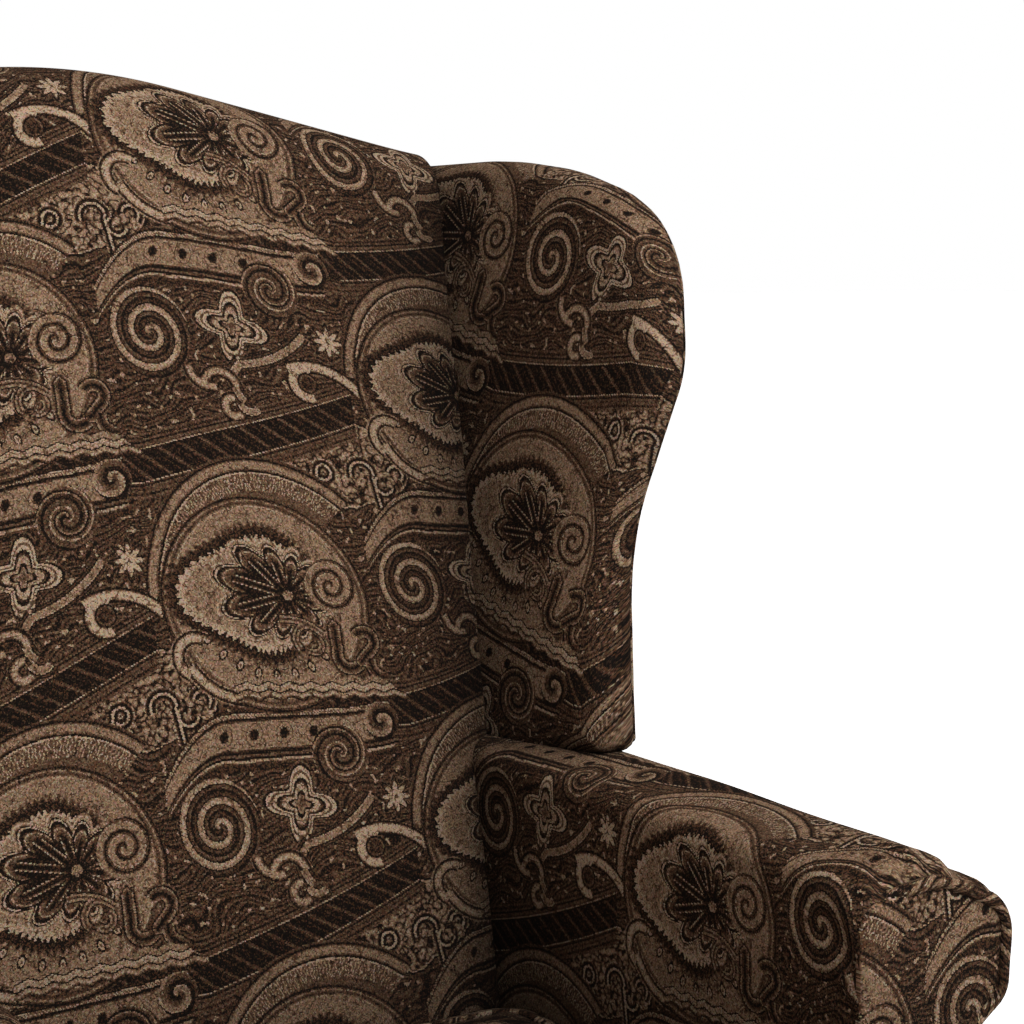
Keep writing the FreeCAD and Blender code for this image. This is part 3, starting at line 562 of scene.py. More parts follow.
def back_reach(z):
    """Half the width of the outside back at height z."""
    low = ARM_OUTER - ARM_TAPER
    ring = arm_ring(ARM_REAR)
    outer = ring[: int(np.argmax(ring[:, 0] < ARM_INNER + 0.03))]
    arm = np.interp(z, outer[:, 2], outer[:, 0], left=low)
    wing = wing_x(rear_y(z), z) + WING_THICK - 0.002
    shoulder = np.where(z > ARM_HEIGHT + 0.03, wing, np.minimum(arm, wing + 0.02))
    return np.where(z > ARM_HEIGHT + 0.012, shoulder, arm)


def outside_back():
    shares = crowded(81, 0.9)
    wing_top = CREST_END - 0.008
    rows = []
    for v in np.linspace(0, 1, 121):
        row = []
        for share in shares:
            x_top = abs(share) * float(back_reach(1.09))
            top = float(crest_z(min(x_top, half_width(CREST)))) - 0.016
            if x_top > half_width(1.08):
                top = wing_top
            z = LEG + v * (top - LEG)
            row.append((share * float(back_reach(z)), rear_y(z), z))
        rows.append(row)
    points = np.array(rows)
    edge = np.minimum(1 - np.abs(shares)[None, :], np.linspace(0, 1, 121)[:, None])
    edge = np.minimum(edge, 1 - np.linspace(0, 1, 121)[:, None])
    points[..., 1] += -0.004 * np.exp(-edge / 0.012) + swell(points, 31, 0.4, 0.001)
    return grid("outside_back", points[:, ::-1], points[:, ::-1][..., [0, 2]])


def front_border():
    rear = ARM_FRONT - 0.003
    corners = [(ARM_OUTER, rear, 0), (ARM_OUTER, SEAT_FRONT, 0.018),
               (-ARM_OUTER, SEAT_FRONT, 0.018), (-ARM_OUTER, rear, 0)]
    line = outline(corners, line_counts(corners, 0.012), closed=False)[::-1]
    middle = np.array([0.0, ARM_FRONT + 0.1])
    rows = []
    levels = np.concatenate([[LEG + 0.001, LEG, LEG + 0.002], np.linspace(LEG + 0.008, DECK - 0.012, 16),
                             [DECK - 0.006, DECK - 0.003, DECK - 0.002]])
    pulls = np.concatenate([[0.012, 0.003, 0.0005], np.zeros(16), [0.0008, 0.003, 0.01]])
    for z, pull in zip(levels, pulls):
        inward = middle - line
        inward /= np.linalg.norm(inward, axis=1)[:, None]
        flat = line + inward * pull
        rows.append(np.stack([flat[:, 0], flat[:, 1], np.full(len(flat), z)], -1))
    points = np.stack(rows)
    run = lengths(np.swapaxes(points, 0, 1)).T
    weave = np.stack([run - run[:, [-1]] / 2, points[..., 2]], -1)
    points[..., 1] += swell(points, 41, 0.25, 0.0012) * (points[..., 1] < SEAT_FRONT + 0.01)
    return grid("border_cloth", points, weave)


def deck():
    """The T-shaped deck cloth under the cushion."""
    y = np.concatenate([np.linspace(SEAT_FRONT + 0.003, ARM_FRONT - 0.004, 16),
                        np.linspace(ARM_FRONT - 0.003, SEAT_LINE + 0.066, 44)])
    half = np.where(y < ARM_FRONT - 0.0035, ARM_OUTER - 0.003, ARM_INNER - 0.001)
    share = np.linspace(-1, 1, 61)
    x = half[:, None] * share[None, :]
    yy = np.broadcast_to(y[:, None], x.shape)
    edge = np.clip((1 - np.abs(share)) / 0.04, 0, 1)[None, :] * np.clip((y - y[0]) / 0.012, 0, 1)[:, None]
    z = DECK - 0.002 + 0.0018 * np.sqrt(edge)
    points = np.stack([x, yy, z], -1)
    return grid("deck", points, points[..., :2])


def dust_cover():
    x = np.linspace(-1, 1, 41) * (ARM_OUTER - 0.018)
    y = np.linspace(SEAT_FRONT + 0.009, rear_y(LEG) - 0.009, 41)
    xx, yy = np.meshgrid(x, y)
    z = LEG - 0.0012 + 0 * xx
    points = np.stack([xx, yy, z], -1)
    return grid("dust_sheet", points[::-1], points[::-1][..., :2])


# The loose cushion

def cushion_corners(inset=0.0):
    """T-shaped plan of the cushion."""
    front = CUSHION_FRONT + CUSHION_WELT
    ear = EAR_HALF - CUSHION_WELT
    back = EAR_BACK - CUSHION_WELT
    neck = NECK_HALF - CUSHION_WELT
    rear = SEAT_LINE - CUSHION_WELT
    half = [
        (ear, front, 0.022),
        (ear, back, 0.011),
        (neck, back, 0.006),
        (neck - 0.0042, (rear + back) / 2, 1.2),
        (neck, rear, 0.022),
    ]
    other = [(-x, y, radius) for x, y, radius in reversed(half)]
    return grown([(0.0, front + 0.006, 3.0)] + half + [(0.0, rear - 0.003, 3.0)] + other, -inset)


CUSHION_COUNTS = line_counts(cushion_corners(), 0.01)


def cushion_outline(inset, z):
    line = outline(cushion_corners(inset), CUSHION_COUNTS, arc_steps=6)
    return np.stack([line[:, 0], line[:, 1], np.full(len(line), z)], -1)


def cushion_shell():
    """The cut cushion before it is stuffed: a closed form, a little smaller than it ends up."""
    low = [(0.05, 0.003), (0.02, 0.0025), (0.004, 0.003)] + [(0.001, up) for up in (0.006, 0.03, 0.06, 0.085)]
    high = [(0.001, -0.002), (0.004, 0.001), (0.02, 0.009), (0.05, 0.015)]
    rings = np.stack([cushion_outline(inset, CUSHION_LOW + up) for inset, up in low]
                     + [cushion_outline(inset, CUSHION_EDGE + up) for inset, up in high])
    piece = grid("cushion", rings, rings[..., :2], closed=True)
    rows, columns = rings.shape[:2]
    shape = bmesh.new()
    shape.from_mesh(piece.data)
    shape.verts.ensure_lookup_table()
    shape.faces.new([shape.verts[i] for i in range(columns)][::-1])
    shape.faces.new([shape.verts[(rows - 1) * columns + i] for i in range(columns)])
    bmesh.ops.triangulate(shape, faces=[f for f in shape.faces if len(f.verts) > 4])
    shape.to_mesh(piece.data)
    shape.free()
    return piece


def stuffed(piece):
    """Blows the cushion up with a short cloth simulation that is held along its two seams."""
    bpy.context.view_layer.objects.active = piece
    remesh = piece.modifiers.new("remesh", "REMESH")
    remesh.mode = "VOXEL"
    remesh.voxel_size = 0.005
    bpy.ops.object.modifier_apply(modifier="remesh")
    start = vectors(piece.data.vertices, "co").astype(float)
    held = piece.vertex_groups.new(name="held")
    line = outline(cushion_corners(0.001), CUSHION_COUNTS, arc_steps=6)
    near = np.full(len(start), 9.0)
    for point in line:
        near = np.minimum(near, np.hypot(start[:, 0] - point[0], start[:, 1] - point[1]))
    level = np.minimum(np.abs(start[:, 2] - CUSHION_EDGE), np.abs(start[:, 2] - CUSHION_LOW - CUSHION_WELT))
    seam = np.where((near < 0.006) & (level < 0.005))[0]
    held.add([int(i) for i in seam], 1.0, "REPLACE")
    cloth = piece.modifiers.new("cloth", "CLOTH")
    cloth.settings.use_pressure = True
    cloth.settings.uniform_pressure_force = 4.0
    cloth.settings.effector_weights.gravity = 0
    cloth.settings.vertex_group_mass = "held"
    cloth.settings.quality = 5
    cloth.settings.tension_stiffness = 20
    cloth.settings.compression_stiffness = 20
    scene = bpy.context.scene
    for step in range(1, 21):
        scene.frame_set(step)
    bpy.ops.object.modifier_apply(modifier="cloth")
    move = vectors(piece.data.vertices, "co") - start
    far = np.linalg.norm(move, axis=1)
    cap = np.where(start[:, 2] < CUSHION_LOW + 0.01, 0.0008, 0.022)
    share = np.minimum(1.0, cap / np.maximum(far, 1e-9))
    final = start + move * share[:, None]
    final[:, 2] = np.maximum(final[:, 2], CUSHION_LOW + 0.0002)
    piece.data.vertices.foreach_set("co", final.astype(np.float32).ravel())
    piece.data.update()
    scene.frame_set(1)


def cushion():
    piece = cushion_shell()
    stuffed(piece)
    mesh = piece.data
    co = vectors(mesh.vertices, "co")
    normals = vectors(mesh.vertices, "normal")
    side = np.abs(normals[:, 2]) < 0.5
    across = np.abs(normals[:, 0]) > np.abs(normals[:, 1])
    h = np.where(side & across, co[:, 1], co[:, 0])
    v = np.where(side, co[:, 2], -co[:, 1])
    if "weave" in mesh.attributes:
        mesh.attributes.remove(mesh.attributes["weave"])
    set_weave(mesh, np.stack([h, v, 0 * h], -1))
    mesh.polygons.foreach_set("use_smooth", [True] * len(mesh.polygons))
    return piece


def cushion_welts():
    pieces = []
    for name, z in (("cushion_welt_top", CUSHION_EDGE), ("cushion_welt_low", CUSHION_LOW + CUSHION_WELT)):
        line = cushion_outline(-0.001, z)
        pieces.append(tube(name, line, CUSHION_WELT, closed=True, twist=1.0))
    return pieces


# Shader nodes. A wire is one output of a node; it is reckoned with like a number, and each sum adds its node

def connect(made, inputs):
    """Sets inputs of a node to numbers or wires."""
    for place, value in inputs.items():
        if isinstance(value, Wire):
            value.tree.links.new(value.socket, made.inputs[place])
        else:
            made.inputs[place].default_value = value


def node(tree, kind, inputs, output=0, **settings):
    """Adds a node and gives one of its outputs as a wire."""
    made = tree.nodes.new("ShaderNode" + kind)
    for name, value in settings.items():
        setattr(made, name, value)
    connect(made, inputs)
    return Wire(tree, made.outputs[output])


def sum_of(operation):
    """A function that adds a Math node with this operation."""
    def add(*values):
        tree = next(value.tree for value in values if isinstance(value, Wire))
        return node(tree, "Math", dict(enumerate(values)), operation=operation)
    return add


class Wire:
    """One output of a node. Where it carries a point, its x, y and z are wires too."""

    def __init__(self, tree, socket):
        self.tree = tree
        self.socket = socket

    __add__ = __radd__ = sum_of("ADD")
    __mul__ = __rmul__ = sum_of("MULTIPLY")
    __sub__ = sum_of("SUBTRACT")
    __truediv__ = sum_of("DIVIDE")
    __pow__ = sum_of("POWER")
    __lt__ = sum_of("LESS_THAN")
    __gt__ = sum_of("GREATER_THAN")
    __abs__ = sum_of("ABSOLUTE")
    __round__ = sum_of("ROUND")
    __floor__ = sum_of("FLOOR")

    def __neg__(self):
        return self * -1

    def __rsub__(self, number):
        return -self + number

    x = property(lambda self: node(self.tree, "SeparateXYZ", {0: self}))
    y = property(lambda self: node(self.tree, "SeparateXYZ", {0: self}, 1))
    z = property(lambda self: node(self.tree, "SeparateXYZ", {0: self}, 2))


sin, cos, fract, arctan, least, most, fold = [sum_of(name) for name in (
    "SINE", "COSINE", "FRACT", "ARCTAN2", "MINIMUM", "MAXIMUM", "PINGPONG")]


def vector(operation, p, other=(0, 0), output=0):
    return node(p.tree, "VectorMath", {0: p, 1: (*other, 0)[:3]}, output, operation=operation)


def minus(p, centre):
    return vector("SUBTRACT", p, centre)


def dot(p, way):
    return vector("DOT_PRODUCT", p, way, "Value")


def length(p):
    return vector("LENGTH", p, output="Value")


def turn(p):
    return arctan(p.y, p.x)


def point(x, y):
    return node(x.tree, "CombineXYZ", {0: x, 1: y})


def between(value, low, high):
    return (value > low) * (value < high)


def mix(below, above, share):
    """Lays one tone over another where the share is 1."""
    return node(share.tree, "Mix", {0: share, 2: below, 3: above})


def ramp(value, stops, smooth=False):
    """Steps of tone, or a run of colours, along a value from 0 to 1."""
    wire = node(value.tree, "ValToRGB", {0: value})
    band = wire.socket.node.color_ramp
    band.interpolation = "LINEAR" if smooth else "CONSTANT"
    for place, (position, tone) in enumerate(stops.items()):
        stop = band.elements[place] if place < 2 else band.elements.new(min(position, 1.0))
        stop.position = min(position, 1.0)
        stop.color = (*tone, 1) if isinstance(tone, tuple) else (tone, tone, tone, 1)
    return wire


def noise(p, size, detail=0):
    return node(p.tree, "TexNoise", {"Vector": p, "Scale": 1 / size, "Detail": detail})


def chance(p, output="Value"):
    """A random number, or colour, for each point."""
    return node(p.tree, "TexWhiteNoise", {"Vector": p}, output, noise_dimensions="2D")


# The paisley of the tapestry, in mm. It repeats in a half drop: one column on, it stands half a repeat higher
COLUMN = 187
DROP = 181
TURN = 2 * math.pi
# Tones of the weave, from the near black outline to the palest thread
BLACK, DARK, RUST, BROWN, MID, TAN, LIGHT, PALE = 0.0, 0.14, 0.28, 0.40, 0.52, 0.70, 0.84, 1.0


def srgb(red, green, blue):
    """Linear colour of a screen colour."""
    return tuple(((c / 255 + 0.055) / 1.055) ** 2.4 for c in (red, green, blue))


PALETTE = {
    BLACK: srgb(20, 14, 10),
    DARK: srgb(40, 29, 21),
    RUST: srgb(86, 57, 39),
    BROWN: srgb(82, 62, 47),
    MID: srgb(108, 83, 63),
    TAN: srgb(140, 110, 86),
    LIGHT: srgb(158, 128, 102),
    PALE: srgb(188, 163, 137),
}


def heading(degrees):
    return (math.cos(math.radians(degrees)), math.sin(math.radians(degrees)))


def tall_cell(p, centre):
    """The point seen from the nearest copy of a motif that is taller than wide."""
    q = minus(p, centre)
    column = round(q.x / COLUMN)
    y = q.y - column * DROP
    return point(q.x - column * COLUMN, y - round(y / (2 * DROP)) * (2 * DROP))


def wide_cell(p, centre):
    """The point seen from the nearest copy of a motif that is wider than tall."""
    q = minus(p, centre)
    row = round(q.y / DROP)
    x = q.x - row * COLUMN
    return point(x - round(x / (2 * COLUMN)) * (2 * COLUMN), q.y - row * DROP)


def arc(p, centre, radius, middle, half):
    """Distance to an arc of a circle that spans half degrees on either side of its middle."""
    q = minus(p, centre)
    far = length(q)
    beyond = dot(q, heading(middle)) < far * math.cos(math.radians(half))
    return abs(far - radius) + beyond * 99


def straight(p, start, end):
    """Distance to a straight stroke."""
    run = math.hypot(end[0] - start[0], end[1] - start[1])
    along = ((end[0] - start[0]) / run, (end[1] - start[1]) / run)
    q = minus(p, start)
    past = most(abs(dot(q, along) - run / 2) - run / 2, 0)
    return abs(dot(q, (-along[1], along[0]))) + past


def bands(distance, reach, stops):
    """Tones in steps of distance, up to reach."""
    return ramp(distance / reach, {far / reach: tone for far, tone in stops.items()})


def strokes(tone, p, reach, stops, half, arcs, lines=()):
    """Lays strokes over the cloth, half wide on either side and toned by the distance from their middle."""
    distances = [arc(p, *one) for one in arcs] + [straight(p, *one) for one in lines]
    away = functools.reduce(least, distances)
    return mix(tone, bands(away, reach, stops), away < half)


def coil(tone, p, centre, pitch, sense, start, reach, stops):
    """Lays a spiral round centre over the cloth."""
    q = minus(p, centre)
    far = length(q)
    return mix(tone, ramp(fract(far / pitch + turn(q) * (sense / TURN) + start), stops), far < reach)


def star(tone, p, centre, lobes, spin, radius, depth, span, reach, stops):
    """Lays a star with round lobes over the cloth."""
    q = minus(p, centre)
    edge = length(q) / (cos(turn(q) * lobes + spin) * depth + radius)
    return mix(tone, ramp(edge / span, stops), edge < reach)


def ground(p, bend):
    """Dark brown ground with fine bent stripes."""
    stripe = fract((p.y * 0.93 - p.x * 0.36 + bend * 46) / 7.4)
    return ramp(stripe, {0: DARK, 0.16: BROWN, 0.34: DARK, 0.5: BLACK, 0.62: DARK, 0.74: BROWN,
                         0.9: RUST})


def worm_ground(tone, p, worms):
    """Tan ground with dark worms to the upper right of the leaf, and the hooks on it."""
    q = wide_cell(p, (70, 108))
    x, y = q.x, q.y
    blob = length(point(x / 1.9, sin(x / 7) * 2 + y)) + worms * 6
    low = (y - x * 0.42) < 34
    tone = mix(tone, bands(blob, 46, {
        0: TAN, 36.5: LIGHT, 38: BLACK, 39.6: RUST, 41: BROWN}), (blob < 42) * low)
    tone = mix(tone, ramp(abs(worms - 0.5) * 4, {
        0: BLACK, 0.07: DARK, 0.17: BROWN, 0.30: TAN, 0.62: LIGHT, 0.9: BROWN}), (blob < 37) * low)
    return strokes(tone, q, 6, {0: PALE, 0.9: BLACK, 3.2: BROWN, 4.2: LIGHT}, 4.8, [
        ((25, -7), 10, 100, 100), ((43, -14), 7.5, 240, 110), ((55, -4), 6.5, 60, 110),
        ((8, -12), 22, 190, 30), ((-8, -9), 6, 20, 150)], [((34, -8), (38, -34))])


def rope(tone, p):
    """The dark feathered band under the leaf, which rises to the right, and the lines along it."""
    middle = (96, -66)
    q = wide_cell(p, middle)
    x = q.x + middle[0]
    y = q.y + middle[1]
    rise = most(x - 104, 0)
    away = y - (rise * rise * 0.00065 + rise * 0.22 - 88)
    inside = (x - away * 0.9) > -22
    plait = ramp(fract((x + away * 1.1) / 16.5), {
        0: RUST, 0.09: BLACK, 0.5: DARK, 0.6: BLACK, 0.82: DARK, 0.92: BROWN})
    tone = mix(tone, plait, inside * (abs(away) < 12))
    lines = bands(away + 24, 48, {
        0: BROWN, 2.5: DARK, 4.5: BROWN, 6.5: RUST, 8: BROWN, 9.6: BLACK, 11: RUST, 12.2: PALE,
        13: DARK, 35: BLACK, 36.4: LIGHT, 37.5: RUST, 39: BROWN, 41: BLACK, 42.4: BROWN,
        44: DARK, 46: BROWN})
    shown = most(x > 60, 1 - (away > 0))
    return mix(tone, lines, inside * between(abs(away), 11, 24) * shown), point(x, y)


def spiral_arm(tone, p):
    """The large spiral, its dotted arm and the ribbed cord over it, and the point seen from the spiral."""
    s = minus(wide_cell(p, (8, -140)), (-69, -28))
    x, y = s.x, s.y
    # the arm runs up the left side of the spiral and away to the right under a flattened arch
    right = most(x - 20, 0)
    left = most(20 - x, 0)
    roof = right * 0.035 + most(right - 90, 0) ** 1.4 * 0.02 - left * left * 0.0135 + 76
    under = roof - y
    share = under / (24 - left * 0.16)
    span = between(x, -38, 150) * (y > 0)
    tone = mix(tone, bands(under + 6, 40, {
        0: DARK, 1.6: BLACK, 2.6: PALE, 3: LIGHT}), span * between(under, -6, 0))
    rib = ramp(fract((x + y) / 2.6), {0: LIGHT, 0.55: BROWN})
    tone = mix(tone, rib, span * between(under, -3, 0))
    tone = mix(tone, bands(share, 1.6, {
        0: BLACK, 0.08: RUST, 0.12: TAN, 0.95: RUST, 1: BLACK, 1.1: BROWN, 1.18: BLACK,
        1.26: LIGHT, 1.34: RUST, 1.42: DARK}), span * (under > 0) * (share < 1.6))
    spot = length(point((fract(x / 24) - 0.5) * 24 + (share - 0.5) * 4, (share - 0.52) * 20))
    tone = mix(tone, bands(spot, 9, {
        0: BLACK, 2.6: DARK, 3.6: TAN, 6.2: BROWN, 7: TAN}),
        span * (spot < 7) * (share < 0.9) * (x > -10))
    far = length(point(x, y * 0.92))
    rings = ramp(fract(far / 13.5 + turn(s) / TURN), {
        0: BLACK, 0.13: BROWN, 0.22: RUST, 0.32: BLACK, 0.40: LIGHT, 0.62: TAN, 0.72: BLACK,
        0.80: RUST, 0.92: DARK})
    return mix(tone, rings, far < 32), s


def small_motifs(tone, s):
    """Stars, hooks and small spirals to the right of the large spiral."""
    tone = star(tone, s, (66, 12), 4, 0.5, 21, 7, 1.3, 1.16, {
        0: BROWN, 0.12: TAN, 0.2: BLACK, 0.28: LIGHT, 0.42: RUST, 0.47: BLACK, 0.54: PALE,
        0.62: BROWN, 0.68: PALE, 0.77: BLACK, 0.84: BROWN})
    tone = coil(tone, s, (103, 48), 15, -1, 0.35, 23, {
        0: BLACK, 0.16: RUST, 0.3: TAN, 0.38: BLACK, 0.5: BROWN, 0.62: LIGHT, 0.7: RUST, 0.85: BROWN})
    tone = coil(tone, s, (141, 72), 12, 1, 0.1, 15, {
        0: BLACK, 0.16: RUST, 0.3: BROWN, 0.5: TAN, 0.74: LIGHT, 0.86: BLACK})
    # leaf line with its hooks
    tone = strokes(tone, s, 8, {
        0: TAN, 2: LIGHT, 2.8: BLACK, 4: RUST, 5.2: BLACK, 6.2: BROWN}, 6.6, [
        ((80, -32), 19, 178, 52), ((71, -46), 8, 262, 60), ((55, 72), 90, 300, 21)])
    # pale hook with its arc and its eye
    eye = (122, -24)
    tone = strokes(tone, s, 7, {0: PALE, 2.2: LIGHT, 3.2: RUST, 4: BLACK, 5.4: BROWN}, 5.4, [
        ((128, -62), 52, 78, 36), (eye, 12, 180, 110)])
    far = length(minus(s, eye))
    tone = mix(tone, bands(far, 12, {0: RUST, 2: DARK, 5.5: BROWN, 7: BLACK}), far < 8.4)
    tone = star(tone, s, (145, 13), 8, 0, 9.5, 3.4, 1.6, 1.5, {
        0: RUST, 0.1: PALE, 0.56: RUST, 0.66: BLACK, 0.8: BROWN})
    # curls to the lower right of the spiral
    return strokes(tone, s, 7, {0: LIGHT, 1.6: TAN, 2.4: RUST, 3.4: BLACK, 4.8: BROWN}, 5.6, [
        ((50, -38), 13, 90, 80), ((42, -22), 16, 235, 50), ((58, -52), 7, 200, 120)])


def leaf(tone, q, fine):
    """The round leaf: the comb arch over it, the lines round that, and its tan body."""
    far = length(q)
    theta = turn(q)
    crest = far - (most(2.75 - theta, 0) * 8.6 + 81)
    high = (q.y > -8) * (theta > 0.78)
    comb = fract(theta * 34 + fine * 2) < 0.34
    tone = mix(tone, mix(BROWN, LIGHT, comb * (crest > -13)), high * (crest < 0))
    tone = mix(tone, bands(crest, 14, {
        0: PALE, 1.2: BLACK, 2.8: BROWN, 4: TAN, 9.5: BROWN, 10.5: BLACK, 12: RUST,
        13.4: BROWN}), high * between(crest, 0, 14))
    body = far / (1 - most(q.y, 0) * 0.0016 + most(-q.y, 0) * 0.0007)
    tone = mix(tone, bands(body - 60, 24, {
        0: TAN, 13.5: LIGHT, 14.6: MID, 16: RUST, 17.6: BROWN, 18.8: TAN, 20.2: RUST,
        21.6: BLACK, 23: RUST}), body < 84)
    speckled = ramp(fine, {0: MID, 0.33: TAN, 0.46: MID, 0.50: TAN, 0.58: RUST, 0.62: MID, 0.7: BROWN})
    return mix(tone, speckled, body < 60)


def flower(tone, q, fine):
    """The flower in its jagged pale field, and the row of small ovals under it."""
    far = length(q)
    theta = turn(q)
    place = fract((theta + math.pi) * (25.7 / TURN) + 0.1) - 0.5
    oval = length(point(place * 15.5, (far - 60.5) * 0.62))
    tone = mix(tone, bands(oval, 4.4, {0: BROWN, 0.9: PALE, 1.6: LIGHT, 2: BLACK, 3.2: TAN}),
               (oval < 3.2) * (q.y < -22) * (q.x < 52))
    # the field comes to a point at its left end
    jag = fold(theta * 19 + fine * 1.5, 1)
    gap = far - (most(-cos(theta), 0) ** 7 * 27 + jag * 4.6 - most(q.x, 0) * 0.12 + 41)
    tone = mix(tone, bands(gap + 26, 36, {
        0: TAN, 18.5: LIGHT, 23.2: PALE, 26: BLACK, 28: DARK, 33.5: RUST, 35: BROWN}),
        between(gap, -26, 10))
    tone = mix(tone, TAN, gap < -25.9)
    # twelve petals, the longest ones to the left
    s = minus(q, (17, 0))
    out = length(s)
    petal = abs(fract(turn(s) * (12 / TURN)) - 0.5)
    facing = most(dot(s, heading(172)) / (out + 0.01), 0)
    depth = out - (facing ** 1.6 * 25 + 33) * (1 - petal * petal * 1.15)
    tone = mix(tone, bands(depth + 22, 28, {
        0: BROWN, 4: LIGHT, 5.2: BLACK, 7.4: DARK, 9.5: RUST, 11: BROWN, 14.5: LIGHT, 16: RUST,
        17.5: BLACK, 20.5: PALE, 22: BLACK, 23.2: TAN, 25.2: PALE, 26.6: TAN}),
        between(depth, -22, 6))
    heart = bands(petal * out, 8, {0: BLACK, 2.6: RUST, 3.6: BROWN, 4.6: PALE, 5.6: BLACK})
    tone = mix(tone, heart, (depth < -13) * (out > 4))
    return mix(tone, BLACK, (petal > 0.43) * (depth < -1))


def leaf_curls(tone, q):
    """Curl at the leaf's right-hand end, its stem, the looped stroke and the pale hook round its foot."""
    tone = coil(tone, q, (53, 9), 9, -1, 0, 21, {
        0: BLACK, 0.14: RUST, 0.26: TAN, 0.7: LIGHT, 0.82: RUST, 0.93: BROWN})
    tone = strokes(tone, q, 5, {0: RUST, 0.8: TAN, 2.4: BLACK, 3.4: BROWN}, 4.2, [
        ((12, -62), 44, 72, 24), ((29, -33), 10.5, 150, 75), ((33, -37), 6, 320, 90)])
    tone = strokes(tone, q, 9, {
        0: BLACK, 1.1: RUST, 2.2: BROWN, 3.2: TAN, 4.4: BLACK, 5.8: BROWN, 7: DARK}, 7, [
        ((61, -45), 10, 235, 80), ((75, -34), 8, 60, 85), ((90, -50), 12, 215, 50)],
        [((51, -22), (51.5, -42)), ((70, -50), (82, -38))])
    return strokes(tone, q, 8, {0: PALE, 1: LIGHT, 2.8: RUST, 3.8: BLACK, 5: TAN}, 6.2, [
        ((-62, -46), 14, 150, 95), ((-25, -30), 48, 236, 28)])


def zigzag(tone, p):
    """Two pale zigzag lines between the leaf and the rope."""
    step = p.y - fold(p.x / 8.6, 1) * 3 + 80
    span = (p.x > -36) * ((p.x + p.y * 1.3) < 6)
    return mix(tone, bands(step, 20, {
        0: DARK, 1.4: BROWN, 2.4: LIGHT, 4.2: TAN, 5.6: BLACK, 6.8: LIGHT, 10.2: PALE, 11.2: BLACK,
        12.4: TAN, 17.5: LIGHT, 18.6: TAN}), span * between(step, 0, 17))


def paisley(p):
    """Tone of the cloth at a point of it."""
    worms = noise(p, 7, 1)
    fine = noise(p, 5)
    tone = mix(ground(p, noise(p, 38, 1)), LIGHT, fine > 0.71)
    tone = worm_ground(tone, p, worms)
    tone, along_rope = rope(tone, p)
    tone, s = spiral_arm(tone, p)
    tone = small_motifs(tone, s)
    q = tall_cell(p, (0, 0))
    tone = leaf(tone, q, fine)
    tone = flower(tone, q, fine)
    tone = leaf_curls(tone, q)
    tone = zigzag(tone, along_rope)
    return mix(tone, tone * 0.5, abs(worms - 0.5) < 0.017)


# Materials. Each of these gives the inputs of a shader

def cloth_point(tree, grain):
    """The point of the cloth in mm, snapped to the yarns of the weave, which are grain mm thick."""
    weave = node(tree, "Attribute", {}, "Vector", attribute_name="weave")
    row = math.floor(weave.y * 1000 / grain)
    shift = fract(row * 0.5)
    return point((math.floor(weave.x * 1000 / grain + shift) - shift + 0.5) * grain, (row + 0.5) * grain)


def bump(height, strength, depth):
    return node(height.tree, "Bump", {"Height": height, "Strength": strength, "Distance": depth})


def yarn_relief(tree, strength, depth):
    """The small bumps of the weave."""
    weave = node(tree, "Attribute", {}, "Vector", attribute_name="weave")
    crossings = sin(weave.x * 5200) * sin(weave.y * 5200)
    return bump(crossings * 0.35 + noise(weave, 0.004, 1), strength, depth)


def painted_crease_shade(colour, reach):
    """Painted shade: the colour made darker in creases and folds, as far as an ambient occlusion node finds
    them closed in within reach.
    """
    open_air = node(colour.tree, "AmbientOcclusion", {"Distance": reach}, "AO", samples=5)
    share = open_air ** 1.45 * 0.94 + 0.06
    return node(colour.tree, "VectorMath", {0: colour, "Scale": share}, operation="SCALE")


def tapestry_cloth(tree):
    p = cloth_point(tree, 0.9)
    tone = paisley(p) + chance(vector("MULTIPLY", p, (0.731, 0.917))) * 0.46 - 0.23
    # uneven dye: each yarn leans a little to one colour
    dye = chance(vector("MULTIPLY", p, (0.917, 0.731)), "Color")
    shade = node(tree, "VectorMath", {0: dye, 1: (0.4, 0.24, 0.4), 2: (0.8, 0.88, 0.8)},
                 operation="MULTIPLY_ADD")
    colour = node(tree, "VectorMath", {0: ramp(tone, PALETTE, smooth=True), 1: shade}, operation="MULTIPLY")
    # The base colour carries painted shade: ambient occlusion darkens it in creases and folds
    return {"Base Color": painted_crease_shade(colour, 0.14), "Roughness": 0.85, "Specular IOR Level": 0.1,
            "Normal": yarn_relief(tree, 0.5, 0.0006)}


def plain_cloth(tree, dark, light, grain):
    """Plain woven cloth with yarns of uneven shade."""
    p = cloth_point(tree, grain)
    streak = noise(point(p.x * 0.05, p.y), 3, 1)
    shade = chance(vector("MULTIPLY", p, (0.731, 0.917))) * 0.5 + streak * 0.5
    return {"Base Color": ramp(shade, {0.2: dark, 0.75: light}, smooth=True), "Roughness": 0.95,
            "Specular IOR Level": 0.1, "Normal": yarn_relief(tree, 0.4, 0.0005)}


def wood(tree, dark, light, grain, roughness):
    """Straight-grained wood. grain is small along the direction that the fibres run."""
    place = vector("MULTIPLY", node(tree, "TexCoord", {}, "Object"), grain)
    growth = noise(place, 0.02, 3)
    fibre = noise(place, 0.0022, 2)
    tone = fract(growth * 9) * 0.3 + growth * 0.5 + fibre * 0.35
    return {"Base Color": ramp(tone, {0.3: dark, 0.85: light}, smooth=True), "Roughness": roughness,
            "Normal": bump(fibre, 0.25, 0.0004)}


def metal(tree, dark, light, roughness):
    """Metal with faint clouding and drawn scratches."""
    place = node(tree, "TexCoord", {}, "Object")
    scratch = noise(vector("MULTIPLY", place, (1, 0.1, 1)), 0.0012, 1)
    shade = noise(place, 0.012, 3) * 0.6 + scratch * 0.4
    return {"Base Color": ramp(shade, {0.3: dark, 0.7: light}, smooth=True), "Roughness": roughness,
            "Metallic": 1}


